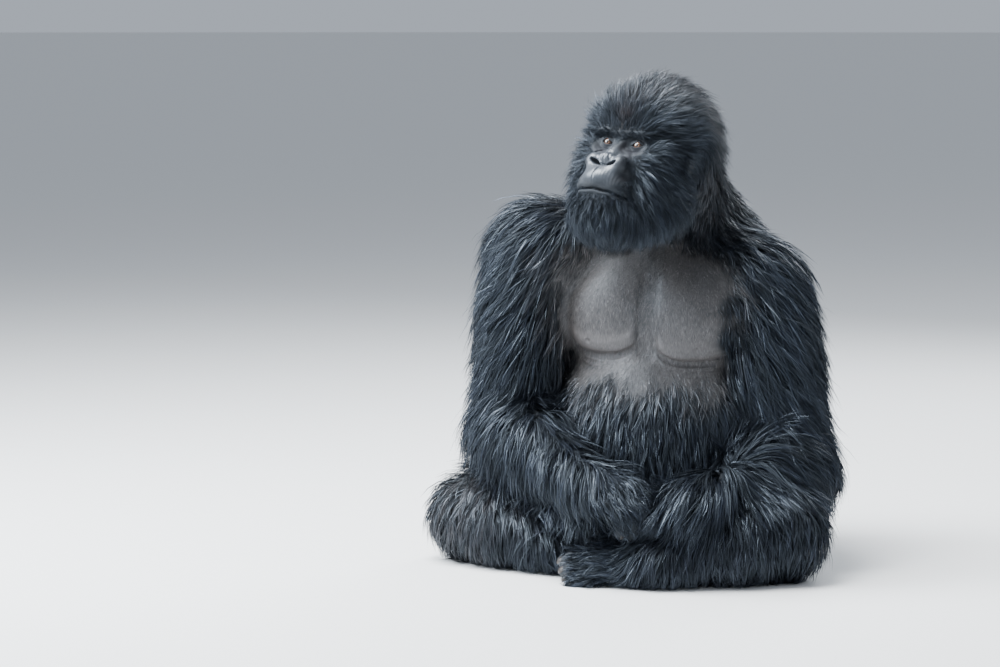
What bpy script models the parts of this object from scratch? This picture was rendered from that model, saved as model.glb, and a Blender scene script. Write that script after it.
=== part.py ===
"""A seated adult male mountain gorilla, life size, as a still museum model.

It sits upright with both knees splayed low, the forearms across the lap and the right hand over the left ankle.
The head is turned a little to its right with the chin raised.  The body is built as flesh with its coat on: every
mass is an ellipsoid or a round limb whose radius is the skin's radius plus the depth of the coat over it.  Trunk,
limbs and head are blended to one body, which thin cuts then part at the joints.  The eyes, ears, muzzle, hands and
feet are finer pieces, let into that body.
Metres, +Z up, the animal faces -Y, +X is its left.  The origin is on the floor under the seat.
"""

import math

import bmesh
import bpy
import numpy as np
from mathutils import Matrix, Vector

for old in list(bpy.data.objects):
    bpy.data.objects.remove(old, do_unlink=True)

# ---------------------------------------------------------------- driving dimensions
GAP = 0.0004            # clearance between parts that touch
FLAT = math.radians(0.1)
REGION_FINENESS = 10    # segments round the plain solids that part the body
CUT_MARGIN = 0.014      # a cut round an arm stays this far outside its coat
LEG_MARGIN = 0.030      # the same for a leg, where the flesh spreads on the floor
RIGHT, LEFT = -1, 1

# where the limbs turn
SHOULDER = {RIGHT: Vector((-0.262, -0.125, 0.672)), LEFT: Vector((0.196, -0.030, 0.590))}
ELBOW = {RIGHT: Vector((-0.322, -0.200, 0.285)), LEFT: Vector((0.322, -0.115, 0.225))}
WRIST = {RIGHT: Vector((-0.060, -0.410, 0.214)), LEFT: Vector((0.165, -0.395, 0.176))}
HIP = {RIGHT: Vector((-0.12, 0.0, 0.14)), LEFT: Vector((0.12, 0.0, 0.14))}
KNEE = {RIGHT: Vector((-0.375, -0.25, 0.103)), LEFT: Vector((0.325, -0.26, 0.101))}
ANKLE = {RIGHT: Vector((-0.15, -0.345, 0.062)), LEFT: Vector((0.09, -0.44, 0.062))}
SIDE_NAME = {RIGHT: "right", LEFT: "left"}

# the head: a point midway between the eyes, and how the head is turned from straight ahead
EYES = Vector((-0.0160, -0.3010, 0.9250))
HEAD_TURN = math.radians(-15.0)     # about the vertical, towards its right
HEAD_RAISE = math.radians(14.0)     # chin up
HEAD_TILT = math.radians(4.5)       # crown towards its left
EYE_SPREAD = 0.038                 # midline to the middle of the eyeball
EYE_RADIUS = 0.0135


# ---------------------------------------------------------------- masses
class Masses:
    """The solids that one part of the body is made of, gathered in one mesh."""

    def __init__(self, fineness=24):
        self.mesh = bmesh.new()
        self.fineness = fineness

    def ball(self, centre, radii, coat=0.0, axes=None, segments=None):
        """An ellipsoid of the given radii, each thickened by the coat's depth."""
        grown = [r + coat for r in radii]
        segments = segments or self.fineness
        turn = axes.to_4x4() if axes else Matrix.Identity(4)
        place = Matrix.Translation(centre) @ turn @ Matrix.Diagonal((*grown, 1.0))
        bmesh.ops.create_uvsphere(self.mesh, u_segments=segments, v_segments=segments // 2 + 2, radius=1.0,
                                  matrix=place)

    def limb(self, start, end, start_radius, end_radius, coat=0.0, segments=None):
        """The hull round two spheres: a limb with round ends."""
        shell = bmesh.new()
        segments = segments or self.fineness * 2 // 3
        for centre, radius in ((start, start_radius), (end, end_radius)):
            bmesh.ops.create_uvsphere(shell, u_segments=segments, v_segments=segments // 2 + 1,
                                      radius=radius + coat, matrix=Matrix.Translation(centre))
        bmesh.ops.delete(shell, geom=shell.edges[:] + shell.faces[:], context="EDGES_FACES")
        hull = bmesh.ops.convex_hull(shell, input=shell.verts[:])
        inside = [g for g in hull["geom_interior"] if isinstance(g, bmesh.types.BMVert)]
        bmesh.ops.delete(shell, geom=inside, context="VERTS")
        bmesh.ops.recalc_face_normals(shell, faces=shell.faces[:])
        data = bpy.data.meshes.new("limb")
        shell.to_mesh(data)
        shell.free()
        self.mesh.from_mesh(data)
        bpy.data.meshes.remove(data)


def evaluated_mesh(obj):
    """The object's mesh with its modifiers worked in."""
    bpy.context.view_layer.update()
    graph = bpy.context.evaluated_depsgraph_get()
    return bpy.data.meshes.new_from_object(obj.evaluated_get(graph), depsgraph=graph)


def bake(obj):
    """Works the modifiers into the object's own mesh."""
    mesh = evaluated_mesh(obj)
    obj.modifiers.clear()
    worn = obj.data
    obj.data = mesh
    bpy.data.meshes.remove(worn)


def keep_largest(obj):
    """Leaves only the largest connected body, as a cut can leave crumbs."""
    body = bmesh.new()
    body.from_mesh(obj.data)
    unseen = set(body.verts)
    islands = []
    while unseen:
        stack = [unseen.pop()]
        island = []
        while stack:
            vert = stack.pop()
            island.append(vert)
            for edge in vert.link_edges:
                other = edge.other_vert(vert)
                if other in unseen:
                    unseen.remove(other)
                    stack.append(other)
        islands.append(island)
    islands.sort(key=len)
    crumbs = [v for island in islands[:-1] for v in island]
    bmesh.ops.delete(body, geom=crumbs, context="VERTS")
    body.to_mesh(obj.data)
    body.free()


def combine(obj, cutter, operation):
    """Takes the cutter's solid away from the object, or keeps only what lies inside it."""
    boolean = obj.modifiers.new("cut", "BOOLEAN")
    boolean.operation = operation
    boolean.solver = "EXACT"
    boolean.object = cutter
    bake(obj)


def boxes_meet(one, other):
    """Whether the two objects' bounding boxes overlap."""
    a = np.array([v.co for v in one.data.vertices])
    b = np.array([v.co for v in other.data.vertices])
    return bool(np.all(a.min(0) < b.max(0)) and np.all(b.min(0) < a.max(0)))


def paint(obj, colour, roughness):
    """Gives the part its own finish."""
    material = bpy.data.materials.new(obj.name + "_finish")
    material.use_nodes = True
    shader = material.node_tree.nodes["Principled BSDF"]
    shader.inputs["Base Color"].default_value = (*colour, 1.0)
    shader.inputs["Roughness"].default_value = roughness
    shader.inputs["Metallic"].default_value = 0.0
    obj.data.materials.clear()
    obj.data.materials.append(material)


model = bpy.data.collections.new("gorilla")
cutters = bpy.data.collections.new("gorilla_cutters")
for collection in (model, cutters):
    bpy.context.scene.collection.children.link(collection)


def as_object(name, shape, collection):
    """Turns gathered masses, or a bmesh, into an object of the collection."""
    data = bpy.data.meshes.new(name)
    shape.to_mesh(data)
    shape.free()
    made = bpy.data.objects.new(name, data)
    collection.objects.link(made)
    if collection is cutters:
        made.hide_render = True
        made.display_type = "WIRE"
    return made


def grown_copy(obj, name):
    """A cutter: the same solid, larger by the clearance on every side."""
    shape = bmesh.new()
    shape.from_mesh(obj.data)
    outward = [vert.normal * vert.calc_shell_factor() for vert in shape.verts]
    for vert, direction in zip(shape.verts, outward):
        vert.co += GAP * direction
    return as_object(name, shape, cutters)


FLOOR_SIDE = 3.0
floor_block = bmesh.new()
bmesh.ops.create_cube(floor_block, size=FLOOR_SIDE, matrix=Matrix.Translation((0.0, 0.0, -FLOOR_SIDE / 2)))
floor_cutter = as_object("floor_cutter", floor_block, cutters)


def blend(obj, grain, smoothing):
    """Runs overlapping masses together to one skin, and rounds the creases where they meet."""
    union = obj.modifiers.new("union", "REMESH")
    union.mode = "VOXEL"
    union.voxel_size = grain
    relax = obj.modifiers.new("relax", "SMOOTH")
    relax.factor = 0.5
    relax.iterations = smoothing
    bake(obj)
    keep_largest(obj)


def thin_to(obj, triangles):
    """Takes away triangles where the surface is plain, down to about the number given."""
    present = sum(len(face.vertices) - 2 for face in obj.data.polygons)
    thin = obj.modifiers.new("thin", "DECIMATE")
    thin.ratio = min(1.0, triangles / present)
    thin.use_collapse_triangulate = True
    bake(obj)


def merge_flat_faces(part):
    """Joins faces that lie in one plane, which repeated cuts leave in slivers, and makes triangles of the rest."""
    shape = bmesh.new()
    shape.from_mesh(part.data)
    bmesh.ops.dissolve_limit(shape, angle_limit=FLAT, use_dissolve_boundaries=False, verts=shape.verts[:],
                             edges=shape.edges[:])
    bmesh.ops.triangulate(shape, faces=shape.faces[:])
    shape.to_mesh(part.data)
    shape.free()


def finish(part, colour, roughness=0.6):
    """Stands the part on the floor, shades it smooth and gives it its finish."""
    if min(v.co.z for v in part.data.vertices) < 0.0:
        combine(part, floor_cutter, "DIFFERENCE")
    keep_largest(part)
    merge_flat_faces(part)
    part.data.shade_smooth()
    part.data.set_sharp_from_angle(angle=math.radians(50.0))
    paint(part, colour, roughness)


def half_space(point, normal):
    """A block whose one face lies on the plane, on the side that the normal points to."""
    block = bmesh.new()
    turn = normal.to_track_quat("Z", "Y").to_matrix().to_4x4()
    place = Matrix.Translation(point) @ turn @ Matrix.Translation((0.0, 0.0, FLOOR_SIDE / 2))
    bmesh.ops.create_cube(block, size=FLOOR_SIDE, matrix=place)
    return block


let_in = []             # grown copies of the fine pieces that are let into the body


def fine_piece(name, masses, colour, roughness=0.6, grain=None, smoothing=0, triangles=0, hollows=(), back=None):
    """A small piece made on its own: it gives way to the fine pieces before it, and the body to all of them.
    A back is the flat face, as a point and the way it faces, where the piece ends inside the body."""
    piece = as_object(name, masses.mesh, model)
    if grain:
        blend(piece, grain, smoothing)
        thin_to(piece, triangles)
    larger = grown_copy(piece, name + "_cutter")
    if back:
        point, facing = back
        for solid, clearance in ((piece, 0.0), (larger, GAP)):
            block = half_space(point + clearance * facing, facing)
            combine(solid, as_object(solid.name + "_back", block, cutters), "DIFFERENCE")
    for hollow in hollows:
        combine(piece, hollow, "DIFFERENCE")
    for cutter in let_in:
        if boxes_meet(piece, cutter):
            combine(piece, cutter, "DIFFERENCE")
    finish(piece, colour, roughness)
    let_in.append(larger)


# ---------------------------------------------------------------- colours
COAT = (0.012, 0.013, 0.017)
SADDLE = (0.10, 0.10, 0.10)
CHEST_SKIN = (0.07, 0.06, 0.055)
LEATHER = (0.015, 0.014, 0.016)
AMBER = (0.16, 0.06, 0.015)

# ---------------------------------------------------------------- head
head_axes = (Matrix.Rotation(HEAD_TURN, 3, "Z") @ Matrix(((0, 1, 0), (-1, 0, 0), (0, 0, 1)))
             @ Matrix.Rotation(-HEAD_RAISE, 3, "Y") @ Matrix.Rotation(-HEAD_TILT, 3, "X"))


def in_head(forward, left, up):
    """A point given from midway between the eyes, along the head's own axes."""
    return EYES + head_axes @ Vector((forward, left, up))


def across(left, side):
    """The sideways distance, on the right or the left of the head."""
    return left * side


class HeadMasses(Masses):
    """Masses placed along the head's own axes: forward, left and up from midway between the eyes."""

    def lump(self, place, radii, coat=0.0, yaw=0.0, segments=None):
        turned = head_axes @ Matrix.Rotation(yaw, 3, "Z")
        self.ball(in_head(*place), radii, coat, turned, segments)

    def pair(self, place, radii, coat=0.0, yaw=0.0):
        for side in (RIGHT, LEFT):
            forward, left, up = place
            self.lump((forward, across(left, side), up), radii, coat, side * yaw)

    def bar(self, start, end, start_radius, end_radius, coat=0.0):
        self.limb(in_head(*start), in_head(*end), start_radius, end_radius, coat)


# Eyeballs, set deep under the brow.
EYE_SEGMENTS = 10
EYE_DEPTH = 0.004
for side in (RIGHT, LEFT):
    eye = HeadMasses()
    eye.lump((-EYE_DEPTH, across(EYE_SPREAD, side), 0.0), (EYE_RADIUS,) * 3, segments=EYE_SEGMENTS)
    fine_piece("eye_" + SIDE_NAME[side], eye, AMBER, 0.1)

# Small ears, almost lost in the hair behind the cheeks.
EAR_PLACE = (-0.100, 0.113, -0.004)
EAR_RADII = (0.021, 0.014, 0.030)
EAR_YAW = math.radians(20.0)
for side in (RIGHT, LEFT):
    forward, left, up = EAR_PLACE
    ear = HeadMasses()
    ear.lump((forward, across(left, side), up), EAR_RADII, yaw=side * EAR_YAW, segments=10)
    fine_piece("ear_" + SIDE_NAME[side], ear, LEATHER, 0.5)


HOLLOW_SEGMENTS = 8


def hollow_cutter(name, place, radii, roll=0.0):
    """An ellipsoid that opens a nostril or an eye socket."""
    hollow = Masses()
    turned = head_axes @ Matrix.Rotation(roll, 3, "X")
    hollow.ball(in_head(*place), radii, 0.0, turned, HOLLOW_SEGMENTS)
    return as_object(name, hollow.mesh, cutters)


sockets = [hollow_cutter("socket_" + SIDE_NAME[side], (0.025, across(EYE_SPREAD, side), -0.002),
                         (0.026, 0.025, 0.015)) for side in (RIGHT, LEFT)]
nostrils = [hollow_cutter("nostril_" + SIDE_NAME[side], (0.070, across(0.0250, side), -0.0505),
                          (0.022, 0.0130, 0.0060), side * math.radians(24.0)) for side in (RIGHT, LEFT)]

# Nose, upper lip and the bare leather round them.
muzzle = HeadMasses()
muzzle.pair((0.010, 0.038, -0.055), (0.034, 0.026, 0.040), 0.003)
muzzle.bar((-0.002, 0.0, 0.006), (0.034, 0.0, -0.031), 0.013, 0.016)
muzzle.pair((0.045, 0.0305, -0.0515), (0.0245, 0.0200, 0.0205), yaw=math.radians(20.0))
muzzle.lump((0.053, 0.0, -0.042), (0.014, 0.018, 0.0130))
muzzle.pair((0.024, 0.013, -0.034), (0.014, 0.013, 0.014))
muzzle.lump((0.039, 0.0, -0.088), (0.055, 0.047, 0.033), 0.002)
muzzle.pair((0.040, 0.032, -0.102), (0.037, 0.029, 0.023), 0.002)
fine_piece("muzzle", muzzle, LEATHER, 0.35, 0.0035, 3, 300, sockets + nostrils,
           (in_head(-0.004, 0.0, -0.05), -head_axes.col[0]))


# ---------------------------------------------------------------- hands and feet
def digit(masses, base, direction, bend_axis, bones, coat=0.0):
    """A finger or toe: a chain of short limbs, each bent further towards the palm or sole."""
    tip = base
    heading = direction
    for length, start_radius, end_radius, bend in bones:
        heading = Matrix.Rotation(math.radians(bend), 3, bend_axis) @ heading
        reach = tip + heading * length
        masses.limb(tip, reach, start_radius, end_radius, coat, 10)
        tip = reach


def limb_axes(along, back, side):
    """Three directions of a hand or foot: to its tip, to its thumb or big toe, and out of its back."""
    tipward = along.normalized()
    outward = (back - back.dot(tipward) * tipward).normalized()
    inner = tipward.cross(outward) * side
    return tipward, inner, outward


PALM = 0.098                        # wrist to knuckles
FINGER = (0.040, 0.045, 0.044, 0.036)
HAND_ALONG = {RIGHT: Vector((0.86, -0.40, -0.22)), LEFT: Vector((-0.90, -0.12, -0.28))}
HAND_BACK = {RIGHT: Vector((0.10, -0.50, 0.85)), LEFT: Vector((-0.10, -0.45, 0.90))}


def make_hand(side):
    """A broad hand with thick, half curled fingers and a short thumb."""
    tipward, inner, outward = limb_axes(HAND_ALONG[side], HAND_BACK[side], side)
    wrist = WRIST[side]
    axes = Matrix((tipward, inner, outward)).transposed()
    curl = outward.cross(tipward)
    hand = Masses()
    hand.ball(wrist + 0.055 * tipward - 0.002 * outward, (0.062, 0.050, 0.024), 0.010, axes)
    hand.ball(wrist + 0.085 * tipward + 0.004 * outward, (0.030, 0.050, 0.020), 0.008, axes)
    for i, length in enumerate(FINGER):
        aside = 0.036 - 0.024 * i
        knuckle = wrist + PALM * tipward + aside * inner + 0.002 * outward
        heading = (tipward + (0.06 - 0.045 * i) * inner).normalized()
        digit(hand, knuckle, heading, curl, ((length, 0.0165, 0.0155, 28), (length * 0.72, 0.0155, 0.0140, 48),
                                             (length * 0.58, 0.0140, 0.0115, 38)), 0.001)
    ball_of_thumb = wrist + 0.030 * tipward + 0.036 * inner - 0.008 * outward
    heading = (0.75 * tipward + 0.62 * inner - 0.25 * outward).normalized()
    digit(hand, ball_of_thumb, heading, curl, ((0.036, 0.0165, 0.0145, 0), (0.026, 0.0145, 0.0115, 16)), 0.001)
    return hand


FOOT_ALONG = {LEFT: Vector((-0.98, -0.16, -0.03)), RIGHT: Vector((0.98, 0.06, -0.02))}
FOOT_BACK = {LEFT: Vector((0.0, -0.70, 0.70)), RIGHT: Vector((0.0, -0.60, 0.80))}
TOE = (0.036, 0.036, 0.033, 0.028)


def make_foot(side):
    """A foot lying on its outer edge, with four short toes and a big toe set apart."""
    tipward, inner, outward = limb_axes(FOOT_ALONG[side], FOOT_BACK[side], side)
    ankle = ANKLE[side]
    axes = Matrix((tipward, inner, outward)).transposed()
    curl = outward.cross(tipward)
    foot = Masses()
    foot.limb(ankle - 0.044 * tipward - 0.004 * inner - 0.030 * outward, ankle + 0.02 * tipward - 0.014 * outward,
              0.036, 0.036, 0.012)
    foot.ball(ankle + 0.055 * tipward - 0.002 * inner - 0.018 * outward, (0.085, 0.040, 0.027), 0.014, axes)
    foot.ball(ankle + 0.118 * tipward + 0.002 * inner - 0.026 * outward, (0.040, 0.046, 0.021), 0.008, axes)
    for i, length in enumerate(TOE):
        base = ankle + (0.140 - 0.005 * i) * tipward + (0.022 - 0.021 * i) * inner - 0.026 * outward
        heading = (tipward + (0.03 - 0.05 * i) * inner).normalized()
        digit(foot, base, heading, curl, ((length, 0.0145, 0.0135, 8), (length * 0.7, 0.0135, 0.0120, 30)))
    base = ankle + 0.055 * tipward + 0.030 * inner - 0.024 * outward
    heading = (0.80 * tipward + 0.58 * inner - 0.08 * outward).normalized()
    digit(foot, base, heading, curl, ((0.050, 0.021, 0.0185, 0), (0.036, 0.0185, 0.0155, 0)))
    return foot


HAND_ROOT = 0.010                   # the hand starts this far beyond the wrist's turning point
for side in (RIGHT, LEFT):
    along = HAND_ALONG[side].normalized()
    fine_piece("hand_" + SIDE_NAME[side], make_hand(side), LEATHER, 0.6, 0.0042, 2, 280,
               back=(WRIST[side] + HAND_ROOT * along, -along))
for side in (LEFT, RIGHT):
    fine_piece("foot_" + SIDE_NAME[side], make_foot(side), LEATHER, 0.6, 0.0050, 2, 250)


# ---------------------------------------------------------------- head and beard
def add_head(masses):
    """Skull with its high crest, the brow ridge, the cheeks and the heavy nape."""
    masses.lump((-0.100, 0.0, 0.048), (0.110, 0.085, 0.092), 0.027)
    masses.lump((-0.114, 0.0, 0.100), (0.090, 0.048, 0.062), 0.028)
    masses.pair((-0.075, 0.054, 0.044), (0.078, 0.044, 0.075), 0.027)
    masses.lump((-0.168, 0.0, 0.045), (0.098, 0.086, 0.105), 0.033)
    masses.pair((0.001, 0.036, 0.026), (0.019, 0.034, 0.013), 0.010, math.radians(-12.0))
    masses.lump((0.002, 0.0, 0.024), (0.018, 0.026, 0.014), 0.010)
    masses.pair((-0.014, 0.066, -0.020), (0.034, 0.028, 0.024), 0.014)
    masses.pair((-0.035, 0.062, -0.072), (0.062, 0.040, 0.068), 0.033)


def add_jaw(masses, margin=0.0):
    """Lower lip, chin, jaw and the beard hanging from them."""
    masses.lump((0.030, 0.0, -0.137), (0.052, 0.055, 0.034), 0.012 + margin)
    masses.lump((0.022, 0.0, -0.162), (0.050, 0.044, 0.034), 0.033 + margin)
    for side in (RIGHT, LEFT):
        masses.bar((0.01, across(0.03, side), -0.155), (-0.085, across(0.072, side), -0.100), 0.034, 0.042,
                   0.033 + margin)


def add_throat(masses):
    """The floor of the mouth, back to the neck."""
    masses.lump((-0.03, 0.0, -0.140), (0.08, 0.065, 0.05), 0.030)


# ---------------------------------------------------------------- limbs
def between(one, other, share):
    """The point that lies the given share of the way from one point to the other."""
    return one.lerp(other, share)


FRINGE_DROP = 0.052                 # the long hair hangs this far under the forearm's bones


def add_forearm(masses, side, margin=0.0):
    """Elbow to wrist, with the fringe of long hair that hangs below."""
    elbow, wrist = ELBOW[side], WRIST[side]
    masses.limb(elbow, wrist, 0.060, 0.038, 0.037 + margin)
    masses.ball(between(elbow, wrist, 0.3), (0.070,) * 3, 0.037 + margin)
    masses.limb(between(elbow, wrist, 0.15) - Vector((0.0, 0.010, FRINGE_DROP)),
                between(elbow, wrist, 0.95) - Vector((0.0, 0.012, FRINGE_DROP)), 0.045, 0.030, margin)


def add_shank(masses, side, margin=0.0):
    """Knee to ankle."""
    knee, ankle = KNEE[side], ANKLE[side]
    masses.limb(knee, ankle, 0.074, 0.033, 0.032 + margin)
    masses.ball(between(knee, ankle, 0.35), (0.066, 0.066, 0.064), 0.032 + margin)


def add_upper_arm(masses, side, margin=0.0):
    """The shoulder's cap, and the arm down to the elbow with its long shaggy coat."""
    shoulder, elbow = SHOULDER[side], ELBOW[side]
    masses.ball(shoulder - Vector((0.0, 0.0, 0.010)), (0.098, 0.105, 0.115), 0.028 + margin)
    masses.limb(shoulder, elbow, 0.083, 0.062, 0.036 + margin)
    masses.ball(between(shoulder, elbow, 0.42) - Vector((0.0, 0.005, 0.0)), (0.080, 0.088, 0.14), 0.034 + margin)


def add_thigh(masses, side, margin=0.0):
    """Hip to knee."""
    masses.limb(HIP[side], KNEE[side], 0.125, 0.078, 0.028 + margin)


# ---------------------------------------------------------------- neck and trunk
NECK_ROOT = Vector((0.0, 0.03, 0.72))
NAPE_ROOT = Vector((0.0, 0.07, 0.70))
YOKE = {RIGHT: Vector((0.0, 0.03, 0.76)), LEFT: Vector((0.0, 0.03, 0.735))}
PECTORAL_RISE = {RIGHT: 0.548, LEFT: 0.536}


def add_trunk(masses):
    """Neck and the yoke of muscle to the shoulders, then chest, belly and seat."""
    masses.limb(NECK_ROOT, in_head(-0.150, 0.0, -0.010), 0.132, 0.096, 0.024)
    masses.limb(NAPE_ROOT, in_head(-0.150, 0.0, 0.030), 0.126, 0.084, 0.030)
    masses.ball(Vector((0.0, -0.030, 0.540)), (0.232, 0.185, 0.190), 0.018)
    masses.ball(Vector((0.0, 0.075, 0.600)), (0.225, 0.160, 0.200), 0.028)
    masses.ball(Vector((0.0, -0.105, 0.300)), (0.225, 0.195, 0.200), 0.023)
    masses.ball(Vector((0.0, -0.130, 0.200)), (0.190, 0.170, 0.130), 0.033)
    masses.ball(Vector((0.0, 0.060, 0.360)), (0.215, 0.185, 0.240), 0.028)
    masses.ball(Vector((0.0, 0.030, 0.155)), (0.200, 0.170, 0.155), 0.033)
    for side in (RIGHT, LEFT):
        masses.limb(between(YOKE[side], SHOULDER[side], 0.15), between(YOKE[side], SHOULDER[side], 0.75),
                    0.095, 0.078, 0.024)
        masses.ball(Vector((side * 0.105, 0.055, 0.115)), (0.120, 0.130, 0.115), 0.033)


def add_pectorals(masses):
    """The two breast muscles, almost bare."""
    for side in (RIGHT, LEFT):
        masses.ball(Vector((side * 0.088, -0.152, PECTORAL_RISE[side])), (0.095, 0.077, 0.092), 0.005)


# ---------------------------------------------------------------- the blended body
BODY_GRAIN = 0.010                  # size of the cells in which the masses are run together
FACE_GRAIN = 0.005
WHOLE_GRAIN = 0.0065
BODY_TRIANGLES = 1250

flesh = Masses()
add_trunk(flesh)
for side in (RIGHT, LEFT):
    add_upper_arm(flesh, side)
    add_forearm(flesh, side)
    add_thigh(flesh, side)
    add_shank(flesh, side)
body = as_object("body", flesh.mesh, model)
blend(body, BODY_GRAIN, 12)

face = HeadMasses()
add_head(face)
add_jaw(face)
add_throat(face)
breast = Masses()
add_pectorals(breast)
joined = bmesh.new()
joined.from_mesh(body.data)
for name, masses in (("face", face), ("breast", breast)):
    sharper = as_object(name, masses.mesh, cutters)
    blend(sharper, FACE_GRAIN, 5)
    joined.from_mesh(sharper.data)
joined.to_mesh(body.data)
joined.free()
blend(body, WHOLE_GRAIN, 3)
thin_to(body, BODY_TRIANGLES)
for hollow in sockets + let_in:
    combine(body, hollow, "DIFFERENCE")
combine(body, floor_cutter, "DIFFERENCE")
keep_largest(body)


# ---------------------------------------------------------------- parting the body
def flat_side(shape, point, normal):
    """Keeps the side of a convex solid that the normal points to, and caps it flat."""
    everything = shape.verts[:] + shape.edges[:] + shape.faces[:]
    sliced = bmesh.ops.bisect_plane(shape, geom=everything, plane_co=point, plane_no=normal, clear_inner=True)
    rim = [g for g in sliced["geom_cut"] if isinstance(g, bmesh.types.BMEdge)]
    bmesh.ops.contextual_create(shape, geom=rim)


def hull_of(masses):
    """The convex hull round gathered masses."""
    shell = masses.mesh
    bmesh.ops.delete(shell, geom=shell.edges[:] + shell.faces[:], context="EDGES_FACES")
    hull = bmesh.ops.convex_hull(shell, input=shell.verts[:])
    inside = [g for g in hull["geom_interior"] if isinstance(g, bmesh.types.BMVert)]
    bmesh.ops.delete(shell, geom=inside, context="VERTS")
    bmesh.ops.recalc_face_normals(shell, faces=shell.faces[:])
    return shell


def part_off(name, region, colour, roughness=0.6):
    """Parts the piece of the body that lies inside the region off from the rest."""
    cutter = as_object(name + "_region", region, cutters)
    piece = bpy.data.objects.new(name, body.data.copy())
    model.objects.link(piece)
    combine(piece, cutter, "INTERSECT")
    finish(piece, colour, roughness)
    combine(body, grown_copy(cutter, name + "_cutter"), "DIFFERENCE")
    keep_largest(body)


def joint_normal(before, joint, after):
    """The direction in which the plane that halves a bent joint faces the limb beyond it."""
    return ((joint - before).normalized() + (after - joint).normalized()).normalized()


jaw_region = HeadMasses(REGION_FINENESS)
add_jaw(jaw_region, CUT_MARGIN)
jaw_hull = hull_of(jaw_region)
flat_side(jaw_hull, in_head(0.09, 0.0, -0.108), head_axes @ Vector((-0.30, 0.0, -1.0)).normalized())
part_off("jaw", jaw_hull, COAT)

head_region = HeadMasses(REGION_FINENESS)
add_head(head_region)
head_hull = hull_of(head_region)
bmesh.ops.scale(head_hull, vec=(1.12, 1.12, 1.12), verts=head_hull.verts[:],
                space=Matrix.Translation(-in_head(-0.09, 0.0, 0.02)))
flat_side(head_hull, in_head(-0.205, 0.0, 0.03), head_axes @ Vector((0.836, 0.0, 0.549)).normalized())
part_off("head", head_hull, COAT)

for side in (RIGHT, LEFT):
    region = Masses(REGION_FINENESS)
    add_forearm(region, side, CUT_MARGIN)
    hull = hull_of(region)
    flat_side(hull, ELBOW[side], joint_normal(SHOULDER[side], ELBOW[side], WRIST[side]))
    part_off("forearm_" + SIDE_NAME[side], hull, COAT)

for side in (LEFT, RIGHT):
    region = Masses(REGION_FINENESS)
    add_shank(region, side, LEG_MARGIN)
    hull = hull_of(region)
    flat_side(hull, KNEE[side], joint_normal(HIP[side], KNEE[side], ANKLE[side]))
    part_off("shank_" + SIDE_NAME[side], hull, COAT)

ARMHOLE_INSET = 0.055
for side in (RIGHT, LEFT):
    region = Masses(REGION_FINENESS)
    add_upper_arm(region, side, CUT_MARGIN)
    hull = hull_of(region)
    armhole = SHOULDER[side] - Vector((side * ARMHOLE_INSET, 0.0, 0.0))
    flat_side(hull, armhole, Vector((side, 0.0, -0.30)).normalized())
    part_off("upper_arm_" + SIDE_NAME[side], hull, COAT)

HIP_INSET = 0.22                    # share of the thigh that stays with the seat
for side in (LEFT, RIGHT):
    region = Masses(REGION_FINENESS)
    add_thigh(region, side, LEG_MARGIN)
    hull = hull_of(region)
    flat_side(hull, between(HIP[side], KNEE[side], HIP_INSET), (KNEE[side] - HIP[side]).normalized())
    part_off("thigh_" + SIDE_NAME[side], hull, COAT)

COLLAR = (Vector((0.0, 0.03, 0.705)), Vector((0.0, -0.15, 1.0)).normalized())
MIDRIFF = (Vector((0.0, -0.10, 0.455)), Vector((0.0, 0.05, 1.0)).normalized())
WAIST = (Vector((0.0, 0.0, 0.20)), Vector((0.0, -0.5, 1.0)).normalized())
part_off("neck", half_space(*COLLAR), COAT)
part_off("chest", half_space(*MIDRIFF), CHEST_SKIN)
part_off("belly", half_space(*WAIST), COAT)
body.name = "pelvis"
finish(body, SADDLE)
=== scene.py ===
"""The looks of a still, life-size model of a seated adult male mountain gorilla.

One seamless skin stands for all the nodes of flesh and lies inside them by the coat's depth.  On it grow
flat blades of hair, which follow the lie of the coat and gather into locks.  Eyes and nails are pieces of
their own.  Metres, +Z up, the animal faces -Y and +X is its left.
"""

import math
import bpy
import numpy as np
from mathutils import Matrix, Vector


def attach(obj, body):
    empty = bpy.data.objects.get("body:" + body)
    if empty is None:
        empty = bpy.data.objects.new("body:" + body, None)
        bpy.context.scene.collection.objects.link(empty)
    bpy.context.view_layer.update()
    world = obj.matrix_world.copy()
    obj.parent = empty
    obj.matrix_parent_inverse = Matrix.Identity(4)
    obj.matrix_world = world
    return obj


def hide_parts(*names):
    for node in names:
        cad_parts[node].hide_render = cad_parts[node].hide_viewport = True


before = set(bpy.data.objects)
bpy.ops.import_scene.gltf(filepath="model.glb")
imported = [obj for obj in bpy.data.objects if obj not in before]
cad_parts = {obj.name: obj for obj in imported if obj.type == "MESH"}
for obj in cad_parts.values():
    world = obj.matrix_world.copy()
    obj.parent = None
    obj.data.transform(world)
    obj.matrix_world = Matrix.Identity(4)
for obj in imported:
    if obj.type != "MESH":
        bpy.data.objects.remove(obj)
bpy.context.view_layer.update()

# ---------------------------------------------------------------- flesh
# What lies under the skin: skull, muscle and fat of a heavy male, as rounded masses that run into each other.
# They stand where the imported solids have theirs, without the depth that the coat adds there.
RIGHT, LEFT = -1, 1
SHOULDER = {RIGHT: (-0.262, -0.125, 0.672), LEFT: (0.196, -0.030, 0.590)}
ELBOW = {RIGHT: (-0.322, -0.200, 0.285), LEFT: (0.322, -0.115, 0.225)}
WRIST = {RIGHT: (-0.060, -0.410, 0.214), LEFT: (0.165, -0.395, 0.176)}
HIP = {RIGHT: (-0.12, 0.0, 0.14), LEFT: (0.12, 0.0, 0.14)}
KNEE = {RIGHT: (-0.375, -0.25, 0.103), LEFT: (0.325, -0.26, 0.101)}
ANKLE = {RIGHT: (-0.15, -0.345, 0.062), LEFT: (0.09, -0.44, 0.062)}
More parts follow.
